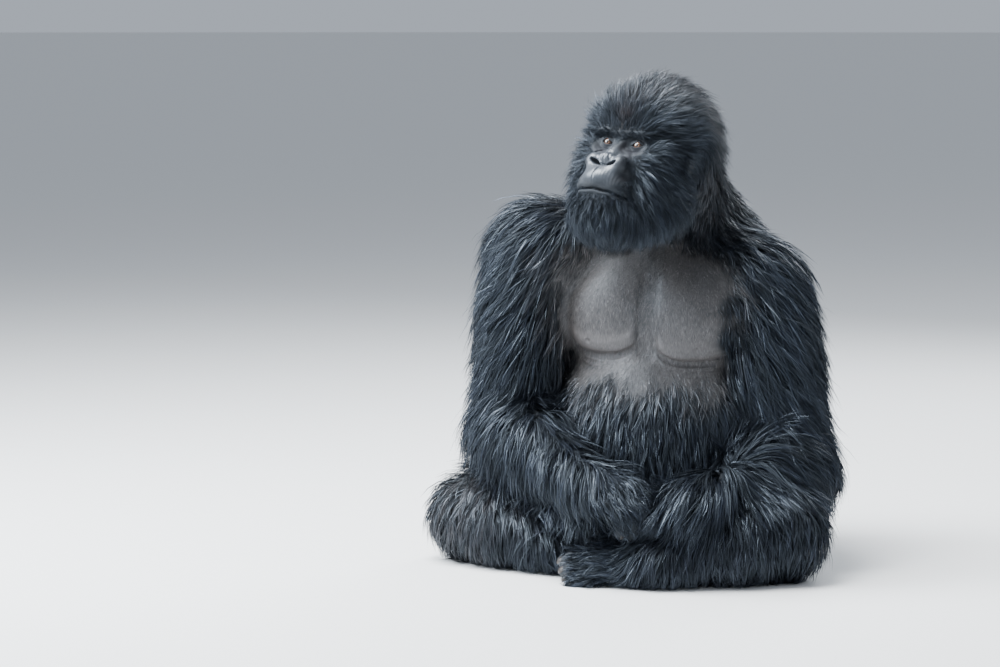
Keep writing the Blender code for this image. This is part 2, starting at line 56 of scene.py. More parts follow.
for joints in (SHOULDER, ELBOW, WRIST, HIP, KNEE, ANKLE):
    for side in (RIGHT, LEFT):
        joints[side] = np.array(joints[side])
SIDE_NAME = {RIGHT: "right", LEFT: "left"}
UP = np.array((0.0, 0.0, 1.0))


def unit(vectors):
    """Each vector divided by its length."""
    length = np.linalg.norm(vectors, axis=-1, keepdims=True)
    return vectors / np.maximum(length, 1e-12)


def turned(axis, degrees):
    """Rotation matrix about an axis: R = cos(a) I + sin(a) K + (1 - cos(a)) n n', with K the cross product
    by n."""
    angle = math.radians(degrees)
    n = unit(np.array(axis, float))
    cross = np.array(((0, -n[2], n[1]), (n[2], 0, -n[0]), (-n[1], n[0], 0)))
    return math.cos(angle) * np.eye(3) + math.sin(angle) * cross + (1 - math.cos(angle)) * np.outer(n, n)


EYES = np.array((-0.0160, -0.3010, 0.9250))     # midway between the eyes
HEAD_TURN, HEAD_RAISE, HEAD_TILT = -15.0, 14.0, 4.5
head_axes = (turned((0, 0, 1), HEAD_TURN) @ np.array(((0, 1, 0), (-1, 0, 0), (0, 0, 1)), float)
             @ turned((0, 1, 0), -HEAD_RAISE) @ turned((1, 0, 0), -HEAD_TILT))


def in_head(forward, left, up):
    """A point given along the head's own axes, from midway between the eyes."""
    return EYES + head_axes @ np.array((forward, left, up), float)


masses = []
REACH = 0.062           # a mass is felt this far from its surface


def ball(part, centre, radii, merge=0.05, axes=None):
    """Adds an ellipsoid of flesh, which runs into the rest over the merge distance."""
    radii, centre = np.array(radii, float), np.array(centre, float)
    axes = np.eye(3) if axes is None else axes
    spread = np.sqrt(((axes * radii) ** 2).sum(1)) + REACH
    masses.append(dict(part=part, centre=centre, radii=radii, axes=axes, merge=merge,
                       low=centre - spread, high=centre + spread))


def limb(part, start, end, start_radius, end_radius, merge=0.05):
    """Adds a limb of flesh with round ends, from one point to another."""
    start, end = np.array(start, float), np.array(end, float)
    spread = max(start_radius, end_radius) + REACH
    masses.append(dict(part=part, start=start, end=end, start_radius=start_radius, end_radius=end_radius,
                       merge=merge, low=np.minimum(start, end) - spread,
                       high=np.maximum(start, end) + spread))


def depth_in(mass, points):
    """How far each point is outside one mass, negative inside.  For the ellipsoid k0 (k0 - 1) / k1, where
    k0 and k1 are the point's lengths divided by the radii and by their squares.  For the limb the distance
    to its line, less a radius that changes evenly along it."""
    if "radii" in mass:
        local = (points - mass["centre"]) @ mass["axes"]
        near = np.linalg.norm(local / mass["radii"], axis=1)
        slope = np.linalg.norm(local / mass["radii"] ** 2, axis=1)
        return near * (near - 1.0) / np.maximum(slope, 1e-9)
    line = mass["end"] - mass["start"]
    reach = np.linalg.norm(line)
    taper = mass["start_radius"] - mass["end_radius"]
    away = points - mass["start"]
    along = away @ line / reach
    side = np.sqrt(np.maximum((away ** 2).sum(1) - along ** 2, 0.0))
    slant = math.sqrt(max(reach ** 2 - taper ** 2, 1e-12)) / reach
    foot = np.clip(along + side * taper / reach / slant, 0.0, reach)
    centre_gap = np.sqrt(side ** 2 + (along - foot) ** 2)
    return centre_gap - (mass["start_radius"] - taper * foot / reach)


def smooth_min(a, b, k):
    """The lesser of two distances, rounded where they are within k of each other: b + (a - b) h
    - k h (1 - h), where h is 1/2 + (b - a) / 2k, kept between 0 and 1."""
    h = np.clip(0.5 + 0.5 * (b - a) / k, 0.0, 1.0)
    return b + (a - b) * h - k * h * (1.0 - h)


def smooth_max(a, b, k):
    """The greater of two distances, rounded where they are within k of each other."""
    return -smooth_min(-a, -b, k)


FAR = 0.2               # the gap given where no mass is felt


def flesh(points):
    """Distance outside the flesh: the rounded least of the distances outside every mass."""
    gap = np.full(len(points), FAR)
    for mass in masses:
        near = np.flatnonzero(((points > mass["low"]) & (points < mass["high"])).all(1))
        if near.size:
            gap[near] = smooth_min(gap[near], depth_in(mass, points[near]), mass["merge"])
    return gap


SLOPE_STEP = 0.0006     # how far apart the gaps are taken that give its slope


def out_of(gap_function, points):
    """Gap and outward direction at each point, from differences of the gap along X, Y and Z."""
    here = gap_function(points)
    slope = np.stack([gap_function(points + SLOPE_STEP * axis) - here for axis in np.eye(3)], 1)
    return here, unit(slope)


# Head: high crest, heavy nape, brow, cheeks, muzzle, jaw and ears.
def head_ball(part, place, radii, merge=0.02, yaw=0.0):
    """An ellipsoid along the head's axes."""
    ball(part, in_head(*place), radii, merge, head_axes @ turned((0, 0, 1), yaw))


def head_pair(part, place, radii, merge=0.02, yaw=0.0):
    """One such ellipsoid on each side."""
    for side in (RIGHT, LEFT):
        head_ball(part, (place[0], side * place[1], place[2]), radii, merge, side * yaw)


head_ball("head", (-0.100, 0.0, 0.048), (0.110, 0.085, 0.092), 0.03)
head_ball("head", (-0.114, 0.0, 0.100), (0.090, 0.048, 0.062), 0.03)
head_pair("head", (-0.075, 0.054, 0.044), (0.078, 0.044, 0.075), 0.03)
head_ball("head", (-0.168, 0.0, 0.045), (0.098, 0.086, 0.105), 0.04)
head_pair("head", (0.001, 0.036, 0.026), (0.019, 0.034, 0.013), 0.014, -12.0)
head_ball("head", (0.002, 0.0, 0.024), (0.018, 0.026, 0.014), 0.014)
head_pair("head", (-0.014, 0.066, -0.020), (0.034, 0.028, 0.024))
head_pair("head", (-0.035, 0.062, -0.072), (0.062, 0.040, 0.068), 0.03)
head_pair("muzzle", (0.010, 0.038, -0.055), (0.034, 0.026, 0.040))
limb("muzzle", in_head(-0.002, 0.0, 0.006), in_head(0.034, 0.0, -0.031), 0.013, 0.016, 0.012)
head_pair("muzzle", (0.045, 0.0305, -0.0515), (0.0245, 0.0200, 0.0205), 0.007, 20.0)
head_ball("muzzle", (0.053, 0.0, -0.042), (0.014, 0.018, 0.0130), 0.008)
head_pair("muzzle", (0.024, 0.013, -0.034), (0.014, 0.013, 0.014), 0.010)
head_pair("muzzle", (-0.003, 0.020, -0.006), (0.0120, 0.0160, 0.0200), 0.010)
head_pair("muzzle", (0.010, 0.022, -0.022), (0.0130, 0.0130, 0.0120), 0.010)
head_ball("muzzle", (0.039, 0.0, -0.088), (0.055, 0.047, 0.033), 0.014)
head_pair("muzzle", (0.052, 0.0200, -0.0700), (0.0190, 0.0170, 0.0140), 0.014)
head_pair("muzzle", (0.040, 0.032, -0.102), (0.037, 0.029, 0.023), 0.014)
head_ball("jaw", (0.028, 0.0, -0.137), (0.052, 0.055, 0.034), 0.018)
head_ball("jaw", (0.022, 0.0, -0.162), (0.050, 0.044, 0.034))
for side in (RIGHT, LEFT):
    limb("jaw", in_head(0.01, side * 0.03, -0.155), in_head(-0.085, side * 0.072, -0.100), 0.034, 0.042, 0.03)
head_ball("jaw", (-0.03, 0.0, -0.140), (0.08, 0.065, 0.05), 0.04)
EAR_PLACE, EAR_RADII, EAR_YAW = (-0.100, 0.104, -0.004), (0.019, 0.0075, 0.028), 24.0
for side in (RIGHT, LEFT):
    forward, left, up = EAR_PLACE
    head_ball("ear_" + SIDE_NAME[side], (forward, side * left, up), EAR_RADII, 0.005, side * EAR_YAW)

# Trunk: chest, a belly that rests between the thighs, and the broad seat.
ball("chest", (0.0, -0.030, 0.540), (0.232, 0.185, 0.190), 0.06)
ball("chest", (0.0, 0.075, 0.600), (0.225, 0.160, 0.200), 0.06)
ball("belly", (0.0, -0.105, 0.300), (0.225, 0.195, 0.200), 0.06)
ball("belly", (0.0, -0.130, 0.200), (0.190, 0.170, 0.130), 0.06)
ball("belly", (0.0, 0.060, 0.360), (0.215, 0.185, 0.240), 0.06)
ball("pelvis", (0.0, 0.030, 0.155), (0.200, 0.170, 0.155), 0.06)
PECTORAL_RISE = {RIGHT: 0.548, LEFT: 0.536}
YOKE_RISE = {RIGHT: 0.760, LEFT: 0.735}
limb("neck", (0.0, 0.03, 0.72), in_head(-0.150, 0.0, -0.010), 0.132, 0.096, 0.055)
limb("neck", (0.0, 0.066, 0.70), in_head(-0.150, 0.0, 0.030), 0.126, 0.084, 0.04)
for side in (RIGHT, LEFT):
    ball("pectoral", (side * 0.088, -0.152, PECTORAL_RISE[side]), (0.095, 0.077, 0.092), 0.055)
    ball("pelvis", (side * 0.105, 0.055, 0.115), (0.120, 0.130, 0.115))
    yoke = np.array((0.0, 0.03, YOKE_RISE[side]))
    reach = SHOULDER[side] - yoke
    limb("yoke_" + SIDE_NAME[side], yoke + 0.15 * reach, yoke + 0.75 * reach, 0.095, 0.078, 0.06)

# Arms and legs, from the joint nearer the trunk to the farther one.
for side in (RIGHT, LEFT):
    name = SIDE_NAME[side]
    ball("upper_arm_" + name, SHOULDER[side] - 0.010 * UP, (0.098, 0.105, 0.115))
    limb("upper_arm_" + name, SHOULDER[side], ELBOW[side], 0.083, 0.062)
    swell = SHOULDER[side] + 0.42 * (ELBOW[side] - SHOULDER[side])
    ball("upper_arm_" + name, swell - np.array((0.0, 0.005, 0.0)), (0.080, 0.088, 0.140))
    limb("forearm_" + name, ELBOW[side], WRIST[side], 0.060, 0.038, 0.03)
    ball("forearm_" + name, ELBOW[side] + 0.3 * (WRIST[side] - ELBOW[side]), (0.070,) * 3)
    limb("thigh_" + name, HIP[side], KNEE[side], 0.125, 0.078)
    limb("shank_" + name, KNEE[side], ANKLE[side], 0.074, 0.033, 0.04)
    ball("shank_" + name, KNEE[side] + 0.35 * (ANKLE[side] - KNEE[side]), (0.066, 0.066, 0.064))

# Hands and feet: a palm or sole, and digits as chains of short limbs, each bent further inwards.
# The place and direction of every digit's end are kept for its nail.
digit_ends = []


def digit(part, base, heading, bend_axis, back, bones, merge=0.006):
    """A chain of bones: each is turned about the bend axis from the one before, and starts where that
    ended."""
    for length, start_radius, end_radius, bend in bones:
        heading = turned(bend_axis, bend) @ heading
        back = turned(bend_axis, bend) @ back
        limb(part, base, base + heading * length, start_radius, end_radius, merge)
        base = base + heading * length
    digit_ends.append(dict(part=part, tip=base, heading=unit(heading), back=unit(back), radius=end_radius))


def axes_of(along, back, side):
    """Three directions of a hand or foot: to its tip, to its thumb or big toe, and out of its back."""
    tipward = unit(np.array(along, float))
    back = np.array(back, float)
    outward = unit(back - (back @ tipward) * tipward)
    return tipward, np.cross(tipward, outward) * side, outward


HAND_ALONG = {RIGHT: (0.86, -0.40, -0.22), LEFT: (-0.90, -0.12, -0.28)}
HAND_BACK = {RIGHT: (0.10, -0.50, 0.85), LEFT: (-0.10, -0.45, 0.90)}
FINGER = (0.040, 0.045, 0.044, 0.036)       # first bone of each finger, from the index to the little one
# Bones of a finger: length by the first one's, radius at each end, and how far the joint before it is bent.
FINGER_BONES = ((1.0, 0.0165, 0.0155, 28), (0.72, 0.0155, 0.0140, 48), (0.58, 0.0140, 0.0115, 38))
THUMB_BONES = ((0.036, 0.0165, 0.0145, 0), (0.026, 0.0145, 0.0115, 16))
for side in (RIGHT, LEFT):
    part, wrist = "hand_" + SIDE_NAME[side], WRIST[side]
    tipward, inner, outward = axes_of(HAND_ALONG[side], HAND_BACK[side], side)
    axes, curl = np.stack((tipward, inner, outward), 1), np.cross(outward, tipward)
    ball(part, wrist + 0.055 * tipward - 0.002 * outward, (0.062, 0.050, 0.024), 0.02, axes)
    ball(part, wrist + 0.085 * tipward + 0.004 * outward, (0.030, 0.050, 0.020), 0.012, axes)
    for i, length in enumerate(FINGER):
        knuckle = wrist + 0.098 * tipward + (0.036 - 0.024 * i) * inner + 0.002 * outward
        digit(part, knuckle, unit(tipward + (0.06 - 0.045 * i) * inner), curl, outward,
              [(length * share, *rest) for share, *rest in FINGER_BONES])
    thumb = wrist + 0.030 * tipward + 0.036 * inner - 0.008 * outward
    digit(part, thumb, unit(0.75 * tipward + 0.62 * inner - 0.25 * outward), curl, outward,
          THUMB_BONES, 0.010)

FOOT_ALONG = {LEFT: (-0.98, -0.16, -0.03), RIGHT: (0.98, 0.06, -0.02)}
FOOT_BACK = {LEFT: (0.0, -0.70, 0.70), RIGHT: (0.0, -0.60, 0.80)}
TOE = (0.036, 0.036, 0.033, 0.028)          # first bone of each lesser toe
TOE_BONES = ((1.0, 0.0145, 0.0135, 8), (0.7, 0.0135, 0.0120, 30))
BIG_TOE_BONES = ((0.050, 0.021, 0.0185, 0), (0.036, 0.0185, 0.0155, 0))
for side in (RIGHT, LEFT):
    part, ankle = "foot_" + SIDE_NAME[side], ANKLE[side]
    tipward, inner, outward = axes_of(FOOT_ALONG[side], FOOT_BACK[side], side)
    axes, curl = np.stack((tipward, inner, outward), 1), np.cross(outward, tipward)
    heel = ankle - 0.044 * tipward - 0.004 * inner - 0.030 * outward
    limb(part, heel, ankle + 0.02 * tipward - 0.014 * outward, 0.036, 0.036, 0.02)
    ball(part, ankle + 0.055 * tipward - 0.002 * inner - 0.018 * outward, (0.085, 0.040, 0.027), 0.02, axes)
    ball(part, ankle + 0.118 * tipward + 0.002 * inner - 0.026 * outward, (0.040, 0.046, 0.021), 0.015, axes)
    for i, length in enumerate(TOE):
        base = ankle + (0.140 - 0.005 * i) * tipward + (0.022 - 0.021 * i) * inner - 0.026 * outward
        digit(part, base, unit(tipward + (0.03 - 0.05 * i) * inner), curl, outward,
              [(length * share, *rest) for share, *rest in TOE_BONES])
    big_toe = ankle + 0.055 * tipward + 0.030 * inner - 0.024 * outward
    digit(part, big_toe, unit(0.80 * tipward + 0.58 * inner - 0.08 * outward), curl, outward,
          BIG_TOE_BONES, 0.010)

part_names = list(dict.fromkeys(mass["part"] for mass in masses))
part_index = {name: i for i, name in enumerate(part_names)}
PART_FADE = 0.011       # how far one part's share runs on into the next


def share_of_parts(points):
    """How much each point belongs to each part: exp(-gap / fade) of its nearest mass, all summing to one."""
    share = np.zeros((len(points), len(part_names)))
    for mass in masses:
        near = np.flatnonzero(((points > mass["low"]) & (points < mass["high"])).all(1))
        if near.size:
            column = part_index[mass["part"]]
            weight = np.exp(-np.clip(depth_in(mass, points[near]), 0.0, None) / PART_FADE)
            share[near, column] = np.maximum(share[near, column], weight)
    return share / np.maximum(share.sum(1, keepdims=True), 1e-9)


def share_in(share, *kinds):
    """How much each point belongs to all the parts whose names start with one of the kinds."""
    return share[:, [i for i, name in enumerate(part_names) if name.startswith(kinds)]].sum(1)


# ---------------------------------------------------------------- skin
# The hide over the flesh, in one piece: bare black leather on the face, hands and feet, nearly bare grey
# skin on the breast, and under hair everywhere else.  It is drawn round the flesh, then worked
# finer where it lies bare.
FLOOR_GAP = 0.002       # the skin of what rests on the floor is this far above it
GRAIN = 0.0050          # size of the cells that the skin is first drawn in
COARSE = 4              # cells looked at first, to find those near the skin


def hide(points):
    """Distance outside the skin before its folds: the flesh's, cut flat just above the floor."""
    return smooth_max(flesh(points), FLOOR_GAP - points[:, 2], 0.006)


def cells_near_skin():
    """Gap at every corner of a grid of cells.  It is worked out exactly only where a coarser grid finds the
    skin near."""
    low = np.min([mass["low"] for mass in masses], 0) + REACH - 3 * GRAIN
    low[2] = -3 * GRAIN
    high = np.max([mass["high"] for mass in masses], 0) - REACH + 3 * GRAIN
    count = (np.ceil((high - low) / GRAIN / COARSE).astype(int) + 1) * COARSE
    axes = [low[i] + GRAIN * np.arange(count[i]) for i in range(3)]
    wide = [axis[::COARSE] + GRAIN * (COARSE - 1) / 2 for axis in axes]
    rough = hide(np.stack(np.meshgrid(*wide, indexing="ij"), -1).reshape(-1, 3))
    rough = rough.reshape([len(w) for w in wide])
    gap = rough.repeat(COARSE, 0).repeat(COARSE, 1).repeat(COARSE, 2)
    near = np.abs(gap) < GRAIN * COARSE * 1.3
    index = np.argwhere(near)
    gap[near] = hide(np.stack([axes[i][index[:, i]] for i in range(3)], 1))
    return gap, axes


def net_round(gap, axes):
    """A net of quads at gap zero: one point in each cell that the surface crosses, at the mean of its edge
    crossings, and one quad round each grid edge that it crosses."""
    inside = gap < 0
    sizes = np.array(gap.shape) - 1
    filled = np.zeros(sizes, np.int8)
    corners = [(i, j, k) for i in (0, 1) for j in (0, 1) for k in (0, 1)]
    for i, j, k in corners:
        filled += inside[i:sizes[0] + i, j:sizes[1] + j, k:sizes[2] + k]
    crossed = (filled > 0) & (filled < 8)
    point_in = np.full(crossed.shape, -1)
    point_in[crossed] = np.arange(crossed.sum())
    cell = np.argwhere(crossed)
    total, hits = np.zeros((len(cell), 3)), np.zeros(len(cell))
    for a, start in enumerate(corners):
        for end in corners[a + 1:]:
            if np.abs(np.subtract(end, start)).sum() != 1:
                continue
            at_start, at_end = cell + start, cell + end
            before, after = gap[tuple(at_start.T)], gap[tuple(at_end.T)]
            meets = (before < 0) != (after < 0)
            share = np.where(meets, before / np.where(meets, before - after, 1.0), 0.0)[:, None]
            low = np.stack([axes[i][at_start[:, i]] for i in range(3)], 1)
            high = np.stack([axes[i][at_end[:, i]] for i in range(3)], 1)
            total += np.where(meets[:, None], low + share * (high - low), 0.0)
            hits += meets
    quads = []
    for axis in range(3):
        u, v = (axis + 1) % 3, (axis + 2) % 3
        first, second = [slice(None)] * 3, [slice(None)] * 3
        first[axis], second[axis] = slice(0, -1), slice(1, None)
        edge = np.argwhere(inside[tuple(first)] != inside[tuple(second)])
        edge = edge[((edge[:, [u, v]] > 0) & (edge[:, [u, v]] < sizes[[u, v]])).all(1)]
        ring = []
        for du, dv in ((0, 0), (1, 0), (1, 1), (0, 1)):
            beside = edge.copy()
            beside[:, u] -= du
            beside[:, v] -= dv
            ring.append(point_in[tuple(beside.T)])
        ring = np.stack(ring, 1)
        outward = ~inside[tuple(first)][tuple(edge.T)]
        ring[outward] = ring[outward][:, ::-1]
        quads.append(ring)
    return total / hits[:, None], np.concatenate(quads)


def mesh_of(name, points, faces):
    """A mesh from arrays of points and of faces with equal numbers of corners."""
    mesh = bpy.data.meshes.new(name)
    mesh.vertices.add(len(points))
    mesh.vertices.foreach_set("co", np.ascontiguousarray(points, np.float32).ravel())
    mesh.loops.add(faces.size)
    mesh.loops.foreach_set("vertex_index", np.ascontiguousarray(faces, np.int32).ravel())
    mesh.polygons.add(len(faces))
    mesh.polygons.foreach_set("loop_start", np.arange(0, faces.size, faces.shape[1], dtype=np.int32))
    mesh.polygons.foreach_set("use_smooth", np.ones(len(faces), bool))
    mesh.update(calc_edges=True)
    return mesh


def piece_of(name, points, faces):
    """An object of the scene with that mesh, at the origin."""
    piece = bpy.data.objects.new(name, mesh_of(name, points, faces))
    bpy.context.scene.collection.objects.link(piece)
    return piece


def points_of(mesh):
    """The mesh's points as an array."""
    points = np.empty(len(mesh.vertices) * 3, np.float32)
    mesh.vertices.foreach_get("co", points)
    return points.reshape(-1, 3).astype(float)


def in_head_axes(points):
    """Places along the head's own axes: forward, left and up from midway between the eyes."""
    return (points - EYES) @ head_axes


def bump_at(value, middle, width):
    """A bell: exp(-((value - middle) / width)^2)."""
    return np.exp(-((value - middle) / width) ** 2)


def ramp(value, start, end):
    """Rises smoothly from 0 at the start to 1 at the end."""
    t = np.clip((value - start) / (end - start), 0.0, 1.0)
    return t * t * (3.0 - 2.0 * t)


def is_face(points):
    """1 on the front of the head, fading to 0 behind the cheekbones."""
    forward, left, up = in_head_axes(points).T
    round_face = np.sqrt((left / 0.080) ** 2 + ((up + 0.055) / 0.125) ** 2)
    return ramp(forward, -0.050, -0.030) * (1.0 - ramp(round_face, 0.9, 1.1))


def is_breast(points):
    """1 on the nearly bare breast, fading unevenly to 0 round it and longest down on to the belly."""
    x, y, z = points.T
    wander = (0.012 * np.sin(47.0 * x + 19.0 * z) + 0.010 * np.sin(83.0 * z - 31.0 * x)
              + 0.008 * np.sin(131.0 * x))
    return (ramp(-y, 0.09, 0.15) * ramp(z + wander, 0.350, 0.445) * ramp(0.748 - z + wander, 0.0, 0.06)
            * ramp(0.212 - np.abs(x + 0.013) + wander, 0.0, 0.055))


gap, axes = cells_near_skin()
points, quads = net_round(gap, axes)
drawn = piece_of("skin_drawn", points, quads)
share = share_of_parts(points)
kept_fine = 1.5 * share_in(share, "hand", "foot") + is_face(points) + is_breast(points)
KEPT_SHARE = 0.26       # of the drawn skin's triangles, kept where it is plain
plain = drawn.vertex_groups.new(name="plain")
plain.add(np.flatnonzero(kept_fine < 0.3).tolist(), 1.0, "REPLACE")
thin = drawn.modifiers.new("thin", "DECIMATE")
thin.vertex_group = "plain"
thin.vertex_group_factor = 1.0
thin.ratio = KEPT_SHARE
thin.use_collapse_triangulate = True
bpy.context.view_layer.update()
thinned = drawn.evaluated_get(bpy.context.evaluated_depsgraph_get()).to_mesh()
points = points_of(thinned)
triangles = np.empty(len(thinned.polygons) * 3, np.int32)
thinned.polygons.foreach_get("vertices", triangles)
triangles = triangles.reshape(-1, 3)
root_points, root_triangles = points, triangles
root_hide = piece_of("skin_roots", root_points, root_triangles)
bpy.data.objects.remove(drawn)


def refined(points, triangles, longest_at):
    """Splits at its middle every edge longer than allowed there.  A triangle with one, two or three split
    edges becomes two, three or four, so no edge is left half joined."""
    count = len(points)
    edges = np.sort(np.concatenate([triangles[:, [i, (i + 1) % 3]] for i in range(3)]), axis=1)
    edges = edges.astype(np.int64)
    key, place = np.unique(edges[:, 0] * count + edges[:, 1], return_inverse=True)
    a, b = key // count, key % count
    middle = 0.5 * (points[a] + points[b])
    split = np.linalg.norm(points[a] - points[b], axis=1) > longest_at(middle)
    new_point = np.full(len(key), -1)
    new_point[split] = count + np.arange(split.sum())
    halves = new_point[place].reshape(3, -1).T
    cuts = (halves >= 0).sum(1)
    made = [triangles[cuts == 0]]
    corner, half = triangles[cuts == 3].T, halves[cuts == 3].T
    made += [np.stack(ring, 1) for ring in ((corner[0], half[0], half[2]), (half[0], corner[1], half[1]),
                                            (half[2], half[1], corner[2]), (half[0], half[1], half[2]))]
    for i in range(3):
        one = (cuts == 1) & (halves[:, i] >= 0)
        corner, half = np.roll(triangles[one], -i, 1).T, halves[one, i]
        made += [np.stack(ring, 1) for ring in ((corner[0], half, corner[2]), (half, corner[1], corner[2]))]
        two = (cuts == 2) & (halves[:, i] < 0)
        corner, half = np.roll(triangles[two], -(i + 1), 1).T, np.roll(halves[two], -(i + 1), 1).T
        made += [np.stack(ring, 1) for ring in ((corner[0], half[0], corner[2]),
                                                (half[0], half[1], corner[2]),
                                                (half[0], corner[1], half[1]))]
    return np.concatenate((points, middle[split])), np.concatenate(made)


def relaxed(points, triangles, amount):
    """Moves each point part of the way to the mean of its neighbours."""
    edges = np.concatenate([triangles[:, [i, (i + 1) % 3]] for i in range(3)])
    ends = np.concatenate((edges[:, 0], edges[:, 1]))
    others = np.concatenate((edges[:, 1], edges[:, 0]))
    neighbours = np.maximum(np.bincount(ends, minlength=len(points)), 1)[:, None]
    mean = np.stack([np.bincount(ends, points[others, i], len(points)) for i in range(3)], 1) / neighbours
    return points + amount[:, None] * (mean - points)


# Folds of the hide: eye openings with their lids and the pouches below, nostrils and the rims round them,
# the mouth, the crease beside the muzzle, and on the breast the furrow down the middle and the edges of the
# muscles.
EYE_PLACE = np.array((-0.004, 0.038, 0.0))
EYE_RADIUS = 0.0135
LID = 0.0024            # thickness of the lids over the eyeball
SOCKET_FLOOR = 0.0075   # how far forward the floor of the eye socket lies
SOCKET_PLACE, SOCKET_RADII = (0.026, 0.0415, -0.002), (0.026, 0.0245, 0.0160)
EYE_HALF_WIDTH, EYE_HALF_HEIGHT = 0.0136, 0.0043
POUCHES = ((0.0165, 0.0013, 0.0021), (0.0235, 0.0010, 0.0020))      # drop, height and width of each


def ellipsoid_gap(points, centre, radii):
    """Distance outside an ellipsoid, k0 (k0 - 1) / k1 as for the masses."""
    local = points - centre
    near = np.linalg.norm(local / radii, axis=1)
    return near * (near - 1.0) / np.maximum(np.linalg.norm(local / np.square(radii), axis=1), 1e-9)


def eyes_opened(place, gap):
    """Sinks the eye sockets, lays the lids over the eyeballs, puts the pouches under them, and opens an
    almond: what two circles share, through both corners of the eye."""
    forward, left, up = place.T
    socket = ellipsoid_gap(place, SOCKET_PLACE, SOCKET_RADII)
    gap = smooth_max(gap, -smooth_max(socket, SOCKET_FLOOR - forward, 0.006), 0.010)
    eye = place - EYE_PLACE
    gap = smooth_min(gap, np.linalg.norm(eye, axis=1) - (EYE_RADIUS + LID), 0.006)
    front = ramp(forward, -0.012, -0.006)
    for drop, height, width in POUCHES:
        arc = up + drop - 0.006 * ((left - 0.034) / 0.02) ** 2
        gap = gap + height * bump_at(arc, 0.0, width) * bump_at(left, 0.036, 0.018) * front
    fold = up - 0.0125 + 0.0075 * ((left - 0.036) / 0.018) ** 2
    gap = gap + 0.0012 * bump_at(fold, 0.0, 0.0015) * bump_at(left, 0.036, 0.016) * front
    circle = (EYE_HALF_WIDTH ** 2 + EYE_HALF_HEIGHT ** 2) / (2.0 * EYE_HALF_HEIGHT)
    across, above = eye[:, 1], eye[:, 2] + 0.0006 - 0.10 * eye[:, 1]
    almond = np.maximum(np.hypot(across, above - (circle - EYE_HALF_HEIGHT)),
                        np.hypot(across, above + (circle - EYE_HALF_HEIGHT))) - circle
    return smooth_max(gap, -np.maximum(almond, 0.0078 - eye[:, 0]), 0.0016)


NOSTRIL_LEFT, NOSTRIL_UP = 0.0220, -0.0505
NOSTRIL_RADII = (0.022, 0.0112, 0.0048)
NOSTRIL_ROLL = math.radians(24.0)
NOSE_FRONT = 0.069      # how far forward the nostrils open


def nose_opened(place, gap):
    """Opens the nostrils, commas whose inner ends lie lower, and joins them by a crease below the
    heart-shaped tip."""
    forward, left, up = place.T
    side, rise = left - NOSTRIL_LEFT, up - NOSTRIL_UP
    along = side * math.cos(NOSTRIL_ROLL) + rise * math.sin(NOSTRIL_ROLL)
    over = rise * math.cos(NOSTRIL_ROLL) - side * math.sin(NOSTRIL_ROLL) - 10.0 * along ** 2 + 0.001
    bent = np.stack((forward - NOSE_FRONT, along, over), 1)
    gap = smooth_max(gap, -ellipsoid_gap(bent, (0.0, 0.0, 0.0), NOSTRIL_RADII), 0.003)
    tip = ramp(forward, 0.032, 0.040)
    under_tip = bump_at(up + 0.0575 - 6.0 * left ** 2, 0.0, 0.0022) * np.exp(-(left / 0.018) ** 4)
    cleft = bump_at(left, 0.0, 0.0022) * bump_at(up, -0.040, 0.010)
    beside_tip = bump_at(left - 0.0105 + 0.35 * (up + 0.040), 0.0, 0.0022) * bump_at(up, -0.038, 0.007)
    philtrum = bump_at(left, 0.0, 0.0022) * bump_at(up, -0.070, 0.009)
    return gap + tip * (0.0040 * under_tip + 0.0020 * cleft + 0.0022 * beside_tip + 0.0020 * philtrum)


def mouth_line(left):
    """Height of the closed mouth's line, highest in the middle."""
    return -0.1118 - 2.3 * left ** 2 + 0.0005 * np.cos(left * 160.0)


def mouth_closed(place, gap):
    """Draws the line of the closed mouth, turned down at its corners, with the lips' edges either side of
    it, and the groove above its middle."""
    forward, left, up = place.T
    from_line = up - mouth_line(left)
    front = ramp(forward, 0.014, 0.038)
    lips = (0.0034 * bump_at(from_line, 0.0, 0.0019) - 0.0026 * bump_at(from_line, -0.0062, 0.0040)
            - 0.0012 * bump_at(from_line, 0.0070, 0.0060))
    groove = 0.0016 * bump_at(left, 0.0, 0.0024) * bump_at(up, -0.078, 0.014) * ramp(forward, 0.020, 0.035)
    return gap + front * lips + groove


def muzzle_creased(place, gap):
    """The furrow from the eye's inner corner down past the nose wing, and fine lines on the upper lip."""
    forward, left, up = place.T
    line = left - 0.0555 + 0.028 * np.exp((up + 0.016) / 0.013) - 0.30 * np.clip(-0.056 - up, 0.0, 1.0)
    depth = ramp(-up, 0.012, 0.030) * (1.0 - ramp(-up, 0.066, 0.098))
    furrow = 0.0042 * bump_at(line, 0.0, 0.0050 + 0.05 * np.clip(-0.045 - up, 0.0, 1.0)) * depth
    furrow = furrow * ramp(forward, -0.012, 0.0) * (1.0 - ramp(forward, 0.040, 0.054))
    lip_lines = 0.00012 * np.sin(left * 1100.0 + 60.0 * up)
    lip_lines = lip_lines * ramp(-up, 0.066, 0.074) * ramp(up, -0.103, -0.098)
    return gap + furrow + lip_lines * ramp(forward, 0.035, 0.045)


def ears_cupped(place, gap):
    """Hollows the ears, leaving a rim round them."""
    forward, left, up = EAR_PLACE
    facing = math.radians(EAR_YAW)
    out = np.array((-math.sin(facing), math.cos(facing), 0.0))
    centre = np.array((forward + 0.003, left, up)) + 0.0085 * out
    return smooth_max(gap, -ellipsoid_gap(place, centre, (0.012, 0.0062, 0.019)), 0.002)


BREAST_BONE = 0.012     # the middle furrow's place across the body
FURROW_DEPTH, FURROW_HALF_WIDTH = 0.0075, 0.023
CREASE_DEPTH, SWELL_HEIGHT, FOLD_DEPTH = 0.0115, 0.0060, 0.0018
NIPPLE_RADIUS = 0.0065


